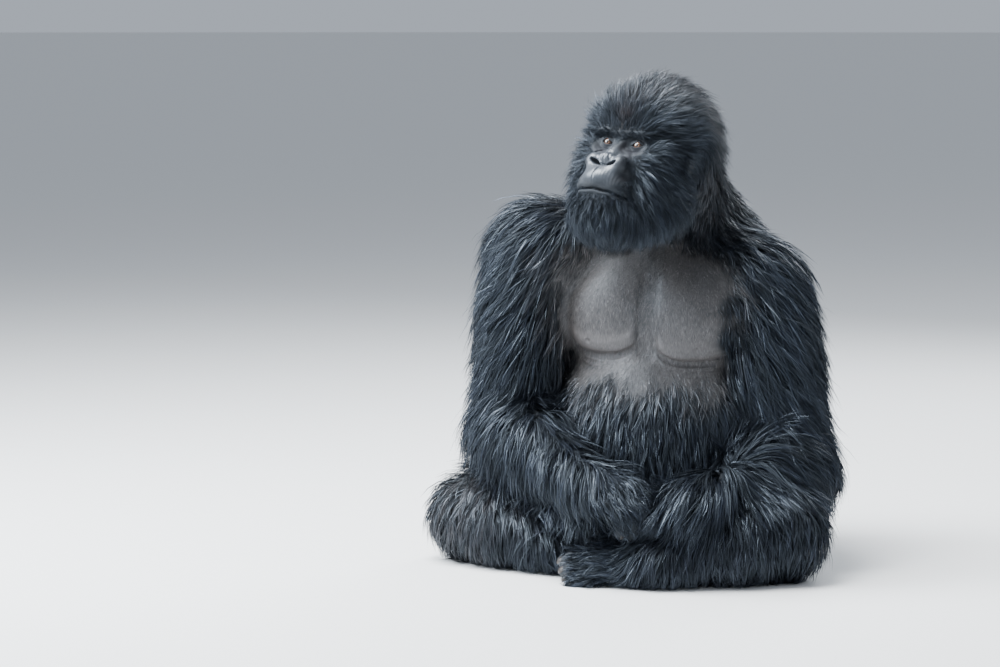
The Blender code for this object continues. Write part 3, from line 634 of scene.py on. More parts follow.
def breast_furrowed(points, gap):
    """The furrow between the breast muscles, the crease under each, the nipples, and folds below them."""
    x, y, z = points.T
    front = ramp(-y, 0.13, 0.17)
    furrow = FURROW_DEPTH * np.exp(-((x - BREAST_BONE) / FURROW_HALF_WIDTH) ** 4)
    gap = gap + front * (furrow * ramp(z, 0.450, 0.480) * (1 - ramp(z, 0.60, 0.66)))
    for side in (RIGHT, LEFT):
        off = (side * (x - BREAST_BONE) - 0.104) / 0.086
        edge = PECTORAL_RISE[side] - 0.083 + 0.030 * np.abs(off) ** 3
        span = ramp(1.0 - np.abs(off), 0.0, 0.25)
        under = CREASE_DEPTH * bump_at(z, edge - 0.003, 0.0055) * span
        over = SWELL_HEIGHT * bump_at(z, edge + 0.020, 0.018) * span
        fold = FOLD_DEPTH * (bump_at(z, edge - 0.020, 0.0028) + bump_at(z, edge - 0.031, 0.0024))
        nipple = np.array((side * 0.123, -0.222, PECTORAL_RISE[side] - 0.056))
        gap = gap + front * (under - over + fold * bump_at(off, 0.35, 0.5))
        gap = smooth_min(gap, np.linalg.norm(points - nipple, axis=1) - NIPPLE_RADIUS, 0.006)
    return gap


def skin_gap(points):
    """Distance outside the finished skin: the hide's, with every fold worked in."""
    gap = hide(points)
    from_eyes = points - EYES
    near = np.flatnonzero((np.abs(from_eyes) < 0.20).all(1))
    if near.size:
        place = in_head_axes(points[near])
        place[:, 1] = np.abs(place[:, 1])
        folded = gap[near]
        for fold in (eyes_opened, nose_opened, mouth_closed, muzzle_creased, ears_cupped):
            folded = fold(place, folded)
        gap[near] = folded
    low, high = np.array((-0.22, -0.30, 0.38)), np.array((0.22, -0.10, 0.68))
    near = np.flatnonzero(((points > low) & (points < high)).all(1))
    if near.size:
        gap[near] = breast_furrowed(points[near], gap[near])
    return gap


def longest_edge(points):
    """How long the skin's edges may be: short on the nose, mouth and eyes, longer on the face, the breast
    and the rest."""
    forward, left, up = in_head_axes(points).T
    fine = ramp(forward, -0.014, -0.008) * (np.abs(left) < 0.060) * (up > -0.120) * (up < 0.020)
    eyes = (np.hypot(np.abs(left) - EYE_PLACE[1], up) < 0.019) & (forward > -0.014)
    face, breast = is_face(points) > 0.4, is_breast(points) > 0.4
    longest = np.where(face, 0.0040, np.where(breast, 0.0045, 0.05))
    longest = np.where(fine > 0.5, 0.0020, longest)
    mouth = (np.abs(up - mouth_line(left)) < 0.006) & (forward > 0.005) & (np.abs(left) < 0.062)
    return np.where(eyes | mouth, 0.0013, longest)


LONGEST_MOVE = 0.002


def settled(points, gap_function, rounds):
    """Moves points on to the surface where the gap is zero, by steps along its steepest slope."""
    for _ in range(rounds):
        gap, out = out_of(gap_function, points)
        points = points - np.clip(gap, -LONGEST_MOVE, LONGEST_MOVE)[:, None] * out
    return points


for _ in range(3):
    points, triangles = refined(points, triangles, longest_edge)
    fine_side = np.flatnonzero((is_face(points) > 0.1) | (is_breast(points) > 0.1))
    loose = np.zeros(len(points))
    loose[fine_side] = 0.5
    points = relaxed(points, triangles, loose)
    points[fine_side] = settled(points[fine_side], hide, 1)


STRIDE, STRIDES = 0.0018, 22
NEAR_START, FAR_START = 0.0015, 0.008   # how far outside the hide a point starts: far where that is clear


def sunk_in(points):
    """Where each point of the face meets the finished skin when it comes in from outside: straight back
    over the eyes and nostrils, and square to the skin elsewhere.  It goes in by equal steps, then by
    halves."""
    _, out = out_of(hide, points)
    place = in_head_axes(points)
    side = np.abs(place[:, 1])
    over_eye = 1.0 - ramp(np.hypot((side - EYE_PLACE[1]) / 1.45, place[:, 2]), 0.0105, 0.0165)
    from_nostril = np.hypot((side - NOSTRIL_LEFT) / 1.3, place[:, 2] - NOSTRIL_UP)
    over_nostril = 1.0 - ramp(from_nostril, 0.0095, 0.0150)
    straight = np.maximum(over_eye, over_nostril)[:, None]
    inward = -unit(out * (1.0 - straight) + head_axes[:, 0] * straight)
    reached = np.full(len(points), -NEAR_START)
    outside = skin_gap(points - FAR_START * inward) > 0.0
    reached[outside] = -FAR_START
    open_still = np.ones(len(points), bool)
    for _ in range(STRIDES):
        going = np.flatnonzero(open_still)
        ahead = points[going] + (reached[going] + STRIDE)[:, None] * inward[going]
        clear = skin_gap(ahead) > 0
        reached[going[clear]] += STRIDE
        open_still[going[~clear]] = False
    for halving in range(1, 5):
        ahead = points + (reached + STRIDE / 2 ** halving)[:, None] * inward
        reached = np.where((skin_gap(ahead) > 0) & ~open_still, reached + STRIDE / 2 ** halving, reached)
    return points + reached[:, None] * inward


face_side = np.flatnonzero(is_face(points) > 0.02)
points[face_side] = sunk_in(points[face_side])
on_ears = share_in(share_of_parts(points), "ear") > 0.2
others = np.flatnonzero((is_face(points) <= 0.02) & ((is_breast(points) > 0.02) | on_ears))
points[others] = settled(points[others], skin_gap, 3)
skin = piece_of("skin", points, triangles)


def paint(piece, name, values):
    """Puts one colour, or one number, on every point of a piece, under a name that its material reads."""
    values = np.asarray(values, np.float32)
    if values.ndim == 1:
        piece.data.attributes.new(name, "FLOAT", "POINT").data.foreach_set("value", values)
        return
    colour = np.ones((len(values), 4), np.float32)
    colour[:, :3] = values
    piece.data.attributes.new(name, "FLOAT_COLOR", "POINT").data.foreach_set("color", colour.ravel())


def mixed(a, b, share):
    """a where the share is 0, b where it is 1."""
    return a + (b - a) * share[:, None]


BLACK_COAT = np.array((0.0080, 0.0098, 0.0145))
SILVER_COAT = np.array((0.230, 0.228, 0.222))
BROWN_COAT = np.array((0.048, 0.026, 0.016))
GREY_COAT = np.array((0.070, 0.068, 0.068))
BREAST_HAIR = np.array((0.170, 0.160, 0.155))


def marking(points):
    """Colour of the coat at a place on the body: black, with a silver saddle over the back, the seat and
    the tops of the thighs, a grey nape, a crown greyer on top (partly grey hair, partly painted sheen of the
    light from above), a brown cap above the brow, greyer, browner hair on the right knee and the shanks,
    and pale hair on the breast."""
    x, y, z = points.T
    wander = (0.018 * np.sin(17.0 * x + 3.0 * z) + 0.014 * np.sin(29.0 * z + 11.0 * y)
              + 0.010 * np.sin(41.0 * x - 23.0 * z))
    forward, left, up = in_head_axes(points).T
    body = share_of_parts(points)
    behind = ramp(y + wander, 0.045, 0.150)
    trunk = share_in(body, "chest", "belly", "pelvis", "neck", "yoke")
    saddle = trunk * behind * ramp(z + wander, -0.02, 0.10) * (1.0 - ramp(z + wander, 0.66, 0.78))
    saddle = np.maximum(saddle, 0.7 * share_in(body, "thigh") * ramp(y + wander, -0.03, 0.06))
    colour = mixed(np.tile(BLACK_COAT, (len(points), 1)), SILVER_COAT, np.clip(saddle, 0.0, 1.0))
    nape = ramp(-forward, 0.12, 0.20) * ramp(z, 0.70, 0.80) * (1.0 - ramp(z, 0.99, 1.06))
    colour = mixed(colour, GREY_COAT, 0.75 * nape)
    cap = bump_at(left, 0.0, 0.020) * bump_at(up, 0.046, 0.016) * ramp(forward, -0.075, -0.040)
    crown = bump_at(left, 0.0, 0.055) * ramp(up, 0.05, 0.10) * ramp(forward, -0.17, -0.05)
    # The top of the head turns greyer: partly grey hair, partly painted sheen of the light from above.
    top = ramp(up, 0.050, 0.105) * ramp(forward, -0.26, -0.16)
    colour = mixed(colour, GREY_COAT, 0.80 * top)
    colour = mixed(colour, BROWN_COAT, np.clip(0.7 * cap + 0.15 * crown, 0.0, 1.0))
    knee = bump_at(np.linalg.norm(points - KNEE[RIGHT], axis=1), 0.05, 0.075)
    worn = np.clip(0.60 * knee + 0.08 * share_in(body, "shank"), 0.0, 0.8)
    colour = mixed(colour, 0.8 * GREY_COAT + 0.2 * BROWN_COAT, worn)
    return mixed(colour, BREAST_HAIR, 0.85 * is_breast(points))


def beyond_face(points):
    """How far each point lies outside the bare part of the face: two ovals round the eyes joined to a broad
    one over the nose and lips, which ends just below the mouth's line."""
    forward, left, up = in_head_axes(points).T
    side = np.abs(left)
    round_eye = np.hypot(side - 0.034, (up + 0.008) * 1.35) - 0.028
    round_lips = np.hypot(left * 0.84, (up + 0.072) * 1.05) - 0.043
    beyond = smooth_min(round_eye, round_lips, 0.020)
    beyond = smooth_max(beyond, mouth_line(left) - 0.006 - up, 0.004)
    return smooth_max(beyond, -0.035 - forward, 0.010)


HAND_BARE, FOOT_BARE = 0.135, 0.150     # how far from the wrist and the ankle the digits' bare skin starts


def is_bare(points):
    """1 where no coat grows: the face from the brow to the lower lip, palms, soles and the digits.  The
    ears are nearly bare, and a few hairs grow round the mouth."""
    forward, _, up = in_head_axes(points).T
    whiskers = ramp(-up, 0.082, 0.104) * ramp(forward, 0.0, 0.02)
    bare = (1.0 - ramp(beyond_face(points), 0.0, 0.007)) * (1.0 - 0.30 * whiskers)
    share = share_of_parts(points)
    bare = np.maximum(bare, 0.8 * ramp(share_in(share, "ear"), 0.6, 0.95))
    for side in (RIGHT, LEFT):
        for limb_name, joint, along, back, start in (("hand_", WRIST, HAND_ALONG, HAND_BACK, HAND_BARE),
                                                     ("foot_", ANKLE, FOOT_ALONG, FOOT_BACK, FOOT_BARE)):
            tipward, _, outward = axes_of(along[side], back[side], side)
            from_joint = points - joint[side]
            digits = ramp(from_joint @ tipward, start, start + 0.035)
            under = ramp(-(from_joint @ outward), 0.022, 0.034)
            belongs = share[:, part_index[limb_name + SIDE_NAME[side]]]
            bare = np.maximum(bare, belongs * np.maximum(digits, under))
    return np.clip(bare, 0.0, 1.0)


LEATHER = np.array((0.0058, 0.0058, 0.0074))
NOSE_PAINTED_SHEEN = np.array((0.046, 0.052, 0.062))
EYE_SKIN = np.array((0.0062, 0.0052, 0.0078))
BREAST_SKIN = np.array((0.064, 0.057, 0.055))
bare = is_bare(points)
breast = is_breast(points)
forward, left, up = in_head_axes(points).T
round_eyes = (np.exp(-(((np.abs(left) - 0.037) / 0.024) ** 2 + ((up + 0.018) / 0.015) ** 2))
              * ramp(forward, -0.03, -0.01))
nose_lip = ramp(forward, 0.030, 0.050) * ramp(up, -0.108, -0.078) * ramp(0.043 - np.abs(left), 0.0, 0.014)
skin_colour = mixed(0.45 * marking(points), LEATHER, bare)
# Painted light and shade on the breast skin: lighter in a band across the lower halves of the breast muscles,
# darker down the furrow between them.
breast_painted_light = (0.75 + 0.55 * bump_at(points[:, 2], 0.490, 0.055)
               - 0.30 * bump_at(points[:, 0], BREAST_BONE, 0.03))
skin_colour = mixed(skin_colour, BREAST_SKIN * breast_painted_light[:, None], 0.9 * breast)
skin_colour = mixed(skin_colour, EYE_SKIN, round_eyes)
# Painted sheen: the nose and upper lip are mixed towards a pale bluish grey that stands in for part of the
# gloss of their wet black skin.
skin_colour = mixed(skin_colour, NOSE_PAINTED_SHEEN, 0.9 * nose_lip)
# Painted shade: a dark line along the closed mouth, in the crease where the lips meet.
mouth_painted_shade = bump_at(up, mouth_line(left) - 0.0003, 0.0016) * ramp(forward, 0.010, 0.030)
mouth_painted_shade = mouth_painted_shade * (np.abs(left) < 0.07)
skin_colour = mixed(skin_colour, 0.25 * LEATHER, 0.9 * mouth_painted_shade)
paint(skin, "skin_colour", skin_colour)
dullness = 0.84 - 0.16 * bare - 0.24 * nose_lip + 0.22 * round_eyes - 0.16 * breast
paint(skin, "dullness", np.clip(dullness, 0.0, 1.0))
paint(skin, "wrinkling", np.clip(bare + 0.8 * breast, 0.1, 1.0))
paint(skin, "down_hair", 0.55 * breast)
paint(skin, "sheen", nose_lip * ramp(up, -0.100, -0.075))


def new_group(name, inputs, outputs):
    """An empty shader node group with its inputs, outputs and their first values."""
    group = bpy.data.node_groups.new(name, "ShaderNodeTree")
    for label, kind, value in inputs:
        socket = group.interface.new_socket(name=label, in_out="INPUT", socket_type=kind)
        socket.default_value = value
    for label, kind in outputs:
        group.interface.new_socket(name=label, in_out="OUTPUT", socket_type=kind)
    return group, group.nodes.new("NodeGroupInput"), group.nodes.new("NodeGroupOutput")


def number(tree, operation, first, second):
    """A Math node on two sockets or plain numbers; returns its output."""
    node = tree.nodes.new("ShaderNodeMath")
    node.operation = operation
    for socket, value in zip(node.inputs, (first, second)):
        if isinstance(value, (int, float)):
            socket.default_value = value
        else:
            tree.links.new(value, socket)
    return node.outputs[0]


def noise(tree, place, scale, detail, stretch=None):
    """A Noise node at a scale, on a place that may be stretched first; returns its value."""
    if stretch is not None:
        mapping = tree.nodes.new("ShaderNodeMapping")
        mapping.inputs["Scale"].default_value = stretch
        tree.links.new(place, mapping.inputs["Vector"])
        place = mapping.outputs["Vector"]
    node = tree.nodes.new("ShaderNodeTexNoise")
    node.inputs["Scale"].default_value = scale
    node.inputs["Detail"].default_value = detail
    tree.links.new(place, node.inputs["Vector"])
    return node.outputs["Fac"]


def cells(tree, place, scale, feature="F1"):
    """A Voronoi node at a scale; returns its distance."""
    node = tree.nodes.new("ShaderNodeTexVoronoi")
    node.feature = feature
    node.inputs["Scale"].default_value = scale
    tree.links.new(place, node.inputs["Vector"])
    return node.outputs["Distance"]


# Leather grain: plates of skin parted by fine creases, wrinkles that run across, and pores.
grain, grain_in, grain_out = new_group("leather_grain", (("Place", "NodeSocketVector", (0, 0, 0)),
                                                         ("Depth", "NodeSocketFloat", 1.0)),
                                       (("Height", "NodeSocketFloat"), ("Mottle", "NodeSocketFloat")))
place = grain_in.outputs["Place"]
plates = number(grain, "MINIMUM", cells(grain, place, 560.0, "DISTANCE_TO_EDGE"), 0.12)
wrinkles = noise(grain, place, 160.0, 4.0, (0.7, 0.7, 2.6))
pores = cells(grain, place, 1500.0)
height = number(grain, "ADD", number(grain, "MULTIPLY", plates, 1.5),
                number(grain, "MULTIPLY", wrinkles, 1.1))
height = number(grain, "ADD", height, number(grain, "MULTIPLY", pores, 0.25))
grain.links.new(number(grain, "MULTIPLY", height, grain_in.outputs["Depth"]), grain_out.inputs["Height"])
grain.links.new(noise(grain, place, 34.0, 5.0), grain_out.inputs["Mottle"])


def new_material(name):
    """A node material; returns it with its tree and its Principled shader."""
    material = bpy.data.materials.new(name)
    material.use_nodes = True
    return material, material.node_tree, material.node_tree.nodes["Principled BSDF"]


def attribute(tree, name, output="Fac"):
    """The value painted on the piece under that name."""
    node = tree.nodes.new("ShaderNodeAttribute")
    node.attribute_name = name
    return node.outputs[output]


def object_place(tree):
    """Each point's place in the frame."""
    return tree.nodes.new("ShaderNodeTexCoord").outputs["Object"]


def placed(tree, group, **sockets):
    """A group put into a material with its own values; returns the node."""
    node = tree.nodes.new("ShaderNodeGroup")
    node.node_tree = group
    for label, value in sockets.items():
        if isinstance(value, (int, float)):
            node.inputs[label].default_value = value
        else:
            tree.links.new(value, node.inputs[label])
    return node


def mix_colour(tree, first, second, share):
    """A colour mix of two sockets or plain colours; returns its output."""
    node = tree.nodes.new("ShaderNodeMix")
    node.data_type, node.blend_type = "RGBA", "MIX"
    for socket, value in ((node.inputs[6], first), (node.inputs[7], second), (node.inputs[0], share)):
        if isinstance(value, (int, float, tuple)):
            socket.default_value = value
        else:
            tree.links.new(value, socket)
    return node.outputs[2]


def bumped(tree, shader, height, depth):
    """Joins a height to the shader's normal, as a bump so many metres deep."""
    node = tree.nodes.new("ShaderNodeBump")
    node.inputs["Distance"].default_value = depth
    tree.links.new(height, node.inputs["Height"])
    tree.links.new(node.outputs["Normal"], shader.inputs["Normal"])


# Fine down on the breast: short flat hairs, silver and black, drawn out along their length.
streaks, streaks_in, streaks_out = new_group("fine_down", (("Place", "NodeSocketVector", (0, 0, 0)),
                                                           ("Share", "NodeSocketFloat", 1.0)),
                                             (("Silver", "NodeSocketFloat"), ("Black", "NodeSocketFloat"),
                                              ("Height", "NodeSocketFloat")))
hairs = noise(streaks, streaks_in.outputs["Place"], 1.0, 4.0, (620.0, 620.0, 85.0))
patches = noise(streaks, streaks_in.outputs["Place"], 26.0, 3.0)
between = number(streaks, "SUBTRACT", 1.0, hairs)
for label, first, strength in (("Silver", hairs, 4.5), ("Black", between, 5.5)):
    amount = number(streaks, "MULTIPLY", number(streaks, "SUBTRACT", first, 0.52), strength)
    amount = number(streaks, "MAXIMUM", amount, 0.0)
    amount = number(streaks, "MULTIPLY", amount, number(streaks, "ADD", patches, 0.25))
    amount = number(streaks, "MINIMUM", amount, 0.85)
    amount = number(streaks, "MULTIPLY", amount, streaks_in.outputs["Share"])
    streaks.links.new(amount, streaks_out.inputs[label])
raised = number(streaks, "MULTIPLY", number(streaks, "MULTIPLY", hairs, 2.0), streaks_in.outputs["Share"])
streaks.links.new(raised, streaks_out.inputs["Height"])

# The hide itself: matt black leather with a faint mottle and a little sheen on the nose and the lips.
PALE_LEATHER = (0.30, 0.28, 0.28, 1.0)
SILVER_DOWN = (0.190, 0.182, 0.180, 1.0)
BLACK_DOWN = (0.008, 0.008, 0.009, 1.0)
SHEEN_WEIGHT = 0.55
GRAIN_BUMP = 0.00022
hide_paint, tree, shader = new_material("hide")
grained = placed(tree, grain, Place=object_place(tree), Depth=attribute(tree, "wrinkling"))
down_hair = placed(tree, streaks, Place=object_place(tree), Share=attribute(tree, "down_hair"))
colour = mix_colour(tree, attribute(tree, "skin_colour", "Color"), PALE_LEATHER,
                    number(tree, "MULTIPLY", number(tree, "SUBTRACT", grained.outputs["Mottle"], 0.42), 0.07))
colour = mix_colour(tree, colour, SILVER_DOWN, down_hair.outputs["Silver"])
colour = mix_colour(tree, colour, BLACK_DOWN, down_hair.outputs["Black"])
tree.links.new(colour, shader.inputs["Base Color"])
tree.links.new(number(tree, "ADD", attribute(tree, "dullness"),
                      number(tree, "MULTIPLY", grained.outputs["Mottle"], -0.22)), shader.inputs["Roughness"])
shader.inputs["Specular IOR Level"].default_value = 0.50
shader.inputs["Specular Tint"].default_value = (0.80, 0.90, 1.0, 1.0)
shader.inputs["Coat Roughness"].default_value = 0.34
tree.links.new(number(tree, "MULTIPLY", attribute(tree, "sheen"), SHEEN_WEIGHT), shader.inputs["Coat Weight"])
bumped(tree, shader, number(tree, "ADD", grained.outputs["Height"], down_hair.outputs["Height"]), GRAIN_BUMP)
skin.data.materials.append(hide_paint)
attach(skin, "root")
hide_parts(*[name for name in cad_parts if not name.startswith("eye_")])

# ---------------------------------------------------------------- eyes
# Wet eyeballs in their sockets: dark brown round the iris, which is orange-brown with a darker rim and
# streaks, a small black pupil, and the clear front bulging a little.  Each is a piece of its own.
IRIS_RADIUS, PUPIL_RADIUS = 0.0086, 0.0030
CORNEA_RISE = 0.0011
GAZE = unit(head_axes @ np.array((1.0, 0.0, 0.02)))
EYE_RINGS, EYE_SPOKES = 56, 64


def eyeball(name, centre):
    """A sphere about the gaze: angle a from the gaze, angle b round it; the radius is that of the ball,
    plus the cornea's rise times a bell of a.  Closed by one point at each pole.  Keeps a and b in a map of
    its own."""
    a = np.linspace(0.0, math.pi, EYE_RINGS + 1)[1:-1]
    b = np.linspace(0.0, 2.0 * math.pi, EYE_SPOKES, endpoint=False)
    reach = EYE_RADIUS + CORNEA_RISE * np.exp(-(a / 0.52) ** 4)
    side = unit(np.cross(UP, GAZE))
    top = np.cross(GAZE, side)
    ring = np.cos(b)[:, None] * side + np.sin(b)[:, None] * top
    body = centre + reach[:, None, None] * (np.cos(a)[:, None, None] * GAZE + np.sin(a)[:, None, None] * ring)
    ends = np.stack((centre + (EYE_RADIUS + CORNEA_RISE) * GAZE, centre - EYE_RADIUS * GAZE))
    points = np.concatenate((body.reshape(-1, 3), ends))
    i, j = np.meshgrid(np.arange(EYE_RINGS - 2), np.arange(EYE_SPOKES), indexing="ij")
    i, j, after = i.ravel(), j.ravel(), (j.ravel() + 1) % EYE_SPOKES
    here, next_here = i * EYE_SPOKES + j, i * EYE_SPOKES + after
    below, next_below = here + EYE_SPOKES, next_here + EYE_SPOKES
    around, onward = np.arange(EYE_SPOKES), (np.arange(EYE_SPOKES) + 1) % EYE_SPOKES
    front, back, last = len(points) - 2, len(points) - 1, (EYE_RINGS - 2) * EYE_SPOKES
    faces = np.concatenate((np.stack((here, below, next_below), 1),
                            np.stack((here, next_below, next_here), 1),
                            np.stack((np.full(EYE_SPOKES, front), around, onward), 1),
                            np.stack((np.full(EYE_SPOKES, back), last + onward, last + around), 1)))
    piece = piece_of(name, points, faces)
    from_gaze = np.arccos(np.clip(unit(points - centre) @ GAZE, -1.0, 1.0))
    paint(piece, "from_gaze", from_gaze * EYE_RADIUS)
    round_gaze = unit(points - centre) - np.cos(from_gaze)[:, None] * GAZE
    paint(piece, "round_gaze", 0.5 + 0.5 * unit(round_gaze))
    return piece


eye_paint, tree, shader = new_material("eye")
outward = attribute(tree, "from_gaze")
ramp_node = tree.nodes.new("ShaderNodeValToRGB")
tree.links.new(number(tree, "DIVIDE", outward, EYE_RADIUS), ramp_node.inputs["Fac"])
PUPIL_EDGE, IRIS_EDGE = PUPIL_RADIUS / EYE_RADIUS, IRIS_RADIUS / EYE_RADIUS
bands = ((0.0, (0.002, 0.002, 0.002)), (PUPIL_EDGE, (0.002, 0.002, 0.002)),
         (PUPIL_EDGE + 0.03, (0.070, 0.025, 0.008)), (0.40, (0.150, 0.056, 0.017)),
         (IRIS_EDGE - 0.05, (0.060, 0.021, 0.008)), (IRIS_EDGE, (0.012, 0.007, 0.005)),
         (0.78, (0.050, 0.030, 0.022)), (1.0, (0.020, 0.012, 0.010)))
for band in bands[len(ramp_node.color_ramp.elements):]:
    ramp_node.color_ramp.elements.new(band[0])
for element, (at, colour) in zip(ramp_node.color_ramp.elements, bands):
    element.position = at
    element.color = (*colour, 1.0)
streaks = noise(tree, attribute(tree, "round_gaze", "Vector"), 16.0, 4.0)
tree.links.new(mix_colour(tree, ramp_node.outputs["Color"], (0.012, 0.006, 0.003, 1.0),
                          number(tree, "MULTIPLY", number(tree, "SUBTRACT", streaks, 0.42), 1.6)),
               shader.inputs["Base Color"])
shader.inputs["Roughness"].default_value = 0.18
shader.inputs["Coat Weight"].default_value = 1.0
shader.inputs["Coat Roughness"].default_value = 0.03
shader.inputs["Specular IOR Level"].default_value = 0.6
for side in (RIGHT, LEFT):
    eye = eyeball("eyeball_" + SIDE_NAME[side], in_head(*(EYE_PLACE * (1, side, 1))))
    eye.data.materials.append(eye_paint)
    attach(eye, "root")
    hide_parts("eye_" + SIDE_NAME[side])

# ---------------------------------------------------------------- nails
# Twenty nails of black horn, curved over the tips of the fingers and toes and broadest on the big toes.
# Each is a thin plate, made on the round end of its digit.
NAIL_ROWS, NAIL_COLUMNS = 10, 9
NAIL_THICKNESS = 0.0012
NAIL_CLEAR = 0.0025             # no nail comes closer to the floor than this
NAIL_HALF_TURN = math.radians(46.0)     # how far it wraps round the digit to each side
NAIL_STAND = 1.015              # its distance from the digit's middle line, by the digit's radius


def nail(end):
    """A plate over a digit's round end.  t runs from the root to the free edge and a from side to side: the
    plate stands at the digit's radius, times (cos a, sin a) along its back and across, follows the digit
    until its round end, then curves down over it; corners rounded by narrowing a near both ends of t."""
    t, s = np.meshgrid(np.linspace(0.0, 1.0, NAIL_ROWS), np.linspace(-1.0, 1.0, NAIL_COLUMNS), indexing="ij")
    radius = end["radius"] * NAIL_STAND
    narrow = np.sqrt(np.clip(1.0 - (np.abs(2.0 * t - 0.95) ** 5) * 0.75, 0.0, 1.0))
    a = s * NAIL_HALF_TURN * narrow
    along = -0.75 + 1.75 * t
    over = np.clip(along, 0.0, None) * 1.05
    reach = np.where(along < 0.0, along, np.sin(over))
    drop = np.where(along < 0.0, 1.0, np.cos(over) * 0.90 + 0.10)
    across = unit(np.cross(end["back"], end["heading"]))
    round_digit = np.cos(a)[..., None] * end["back"] + np.sin(a)[..., None] * across
    place = (end["tip"] + radius * reach[..., None] * end["heading"]
             + radius * drop[..., None] * round_digit)
    return place.reshape(-1, 3)


def plate_faces(rows, columns):
    """The quads of one grid of points."""
    i, j = np.meshgrid(np.arange(rows - 1), np.arange(columns - 1), indexing="ij")
    here = (i * columns + j).ravel()
    return np.stack((here, here + columns, here + columns + 1, here + 1), 1)


plate = plate_faces(NAIL_ROWS, NAIL_COLUMNS)
nail_points = np.concatenate([nail(end) for end in digit_ends])
nail_points[:, 2] = smooth_max(nail_points[:, 2], NAIL_CLEAR, 0.002)
nail_faces = np.concatenate([plate + i * NAIL_ROWS * NAIL_COLUMNS for i in range(len(digit_ends))])
nails = piece_of("nails", nail_points, nail_faces)
thick = nails.modifiers.new("thick", "SOLIDIFY")
thick.thickness, thick.offset = NAIL_THICKNESS, 0.0
round_off = nails.modifiers.new("round_off", "SUBSURF")
round_off.levels = round_off.render_levels = 1
horn, tree, shader = new_material("horn")
ridges = noise(tree, object_place(tree), 900.0, 3.0)
tree.links.new(mix_colour(tree, (0.012, 0.011, 0.011, 1.0), (0.060, 0.050, 0.044, 1.0),
                          noise(tree, object_place(tree), 120.0, 4.0)), shader.inputs["Base Color"])
tree.links.new(number(tree, "ADD", number(tree, "MULTIPLY", ridges, 0.3), 0.16), shader.inputs["Roughness"])
bumped(tree, shader, ridges, 0.00012)
nails.data.materials.append(horn)
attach(nails, "root")

# ---------------------------------------------------------------- coat
# Straight black hair over all but the face, palms, soles and digits: short on the breast, standing on the
# head, lying down the trunk, longest and shaggiest on the arms.  Each blade is a few hairs stuck together,
# flat, bent along the lie of the coat and drawn to a tip; neighbouring blades lean together into locks.
bpy.ops.object.select_all(action="DESELECT")
bpy.context.view_layer.objects.active = root_hide
root_hide.select_set(True)
bpy.ops.object.mode_set(mode="EDIT")
bpy.ops.mesh.select_all(action="SELECT")
bpy.ops.uv.smart_project(angle_limit=math.radians(66.0), island_margin=0.004)
bpy.ops.object.mode_set(mode="OBJECT")
corner_maps = np.empty(len(root_hide.data.loops) * 2, np.float32)
root_hide.data.uv_layers.active.data.foreach_get("uv", corner_maps)
root_maps = corner_maps.reshape(-1, 3, 2).astype(float)     # the unwrap of each root triangle's three corners
bpy.data.objects.remove(root_hide)

# For each part: depth of the coat, length of its hair, how steeply it leaves the skin (degrees), and how
# strongly it leans into locks.
COAT = {
    "head": (0.029, 0.034, 40.0, 0.22),
    "jaw": (0.033, 0.048, 36.0, 0.34),
    "muzzle": (0.003, 0.008, 30.0, 0.10),
    "ear": (0.014, 0.030, 40.0, 0.20),
    "neck": (0.021, 0.042, 20.0, 0.35),
    "yoke": (0.026, 0.064, 22.0, 0.50),
    "chest": (0.022, 0.040, 20.0, 0.40),
    "pectoral": (0.006, 0.016, 16.0, 0.15),
    "belly": (0.027, 0.060, 16.0, 0.60),
    "pelvis": (0.033, 0.052, 22.0, 0.50),
    "upper": (0.039, 0.105, 23.0, 0.75),
    "forearm": (0.037, 0.115, 24.0, 0.78),
    "hand": (0.012, 0.052, 16.0, 0.50),
    "thigh": (0.029, 0.058, 24.0, 0.55),
    "shank": (0.032, 0.085, 24.0, 0.60),
    "foot": (0.013, 0.036, 18.0, 0.50),
}
CROWN_HEART = np.array((0.055, 0.0, -0.015))    # the hair of the head leaves this point on all sides


def coat_row(name):
    """The row of the table for a part."""
    return COAT[name.split("_")[0]]


def sway(points, size, seed):
    """Three smooth wandering numbers at each point, each the product of two sine waves of about that
    length."""
    waves = np.random.default_rng(seed).normal(size=(6, 3)) * 2.0 * math.pi / size / 1.7
    phase = waves[:, 0] * 0.37 + np.arange(6.0)
    return np.sin(points @ waves[:3].T + phase[:3]) * np.sin(points @ waves[3:].T + phase[3:])


def along_limb(points, starts, ends, side):
    """Direction of a limb and how far along it each point lies, 0 to 1."""
    line = ends[side] - starts[side]
    share = np.clip((points - starts[side]) @ line / (line @ line), 0.0, 1.0)
    return unit(line), share[:, None]


BACKWARD = np.array((0.0, 1.0, 0.0))            # from the animal's breast to its back


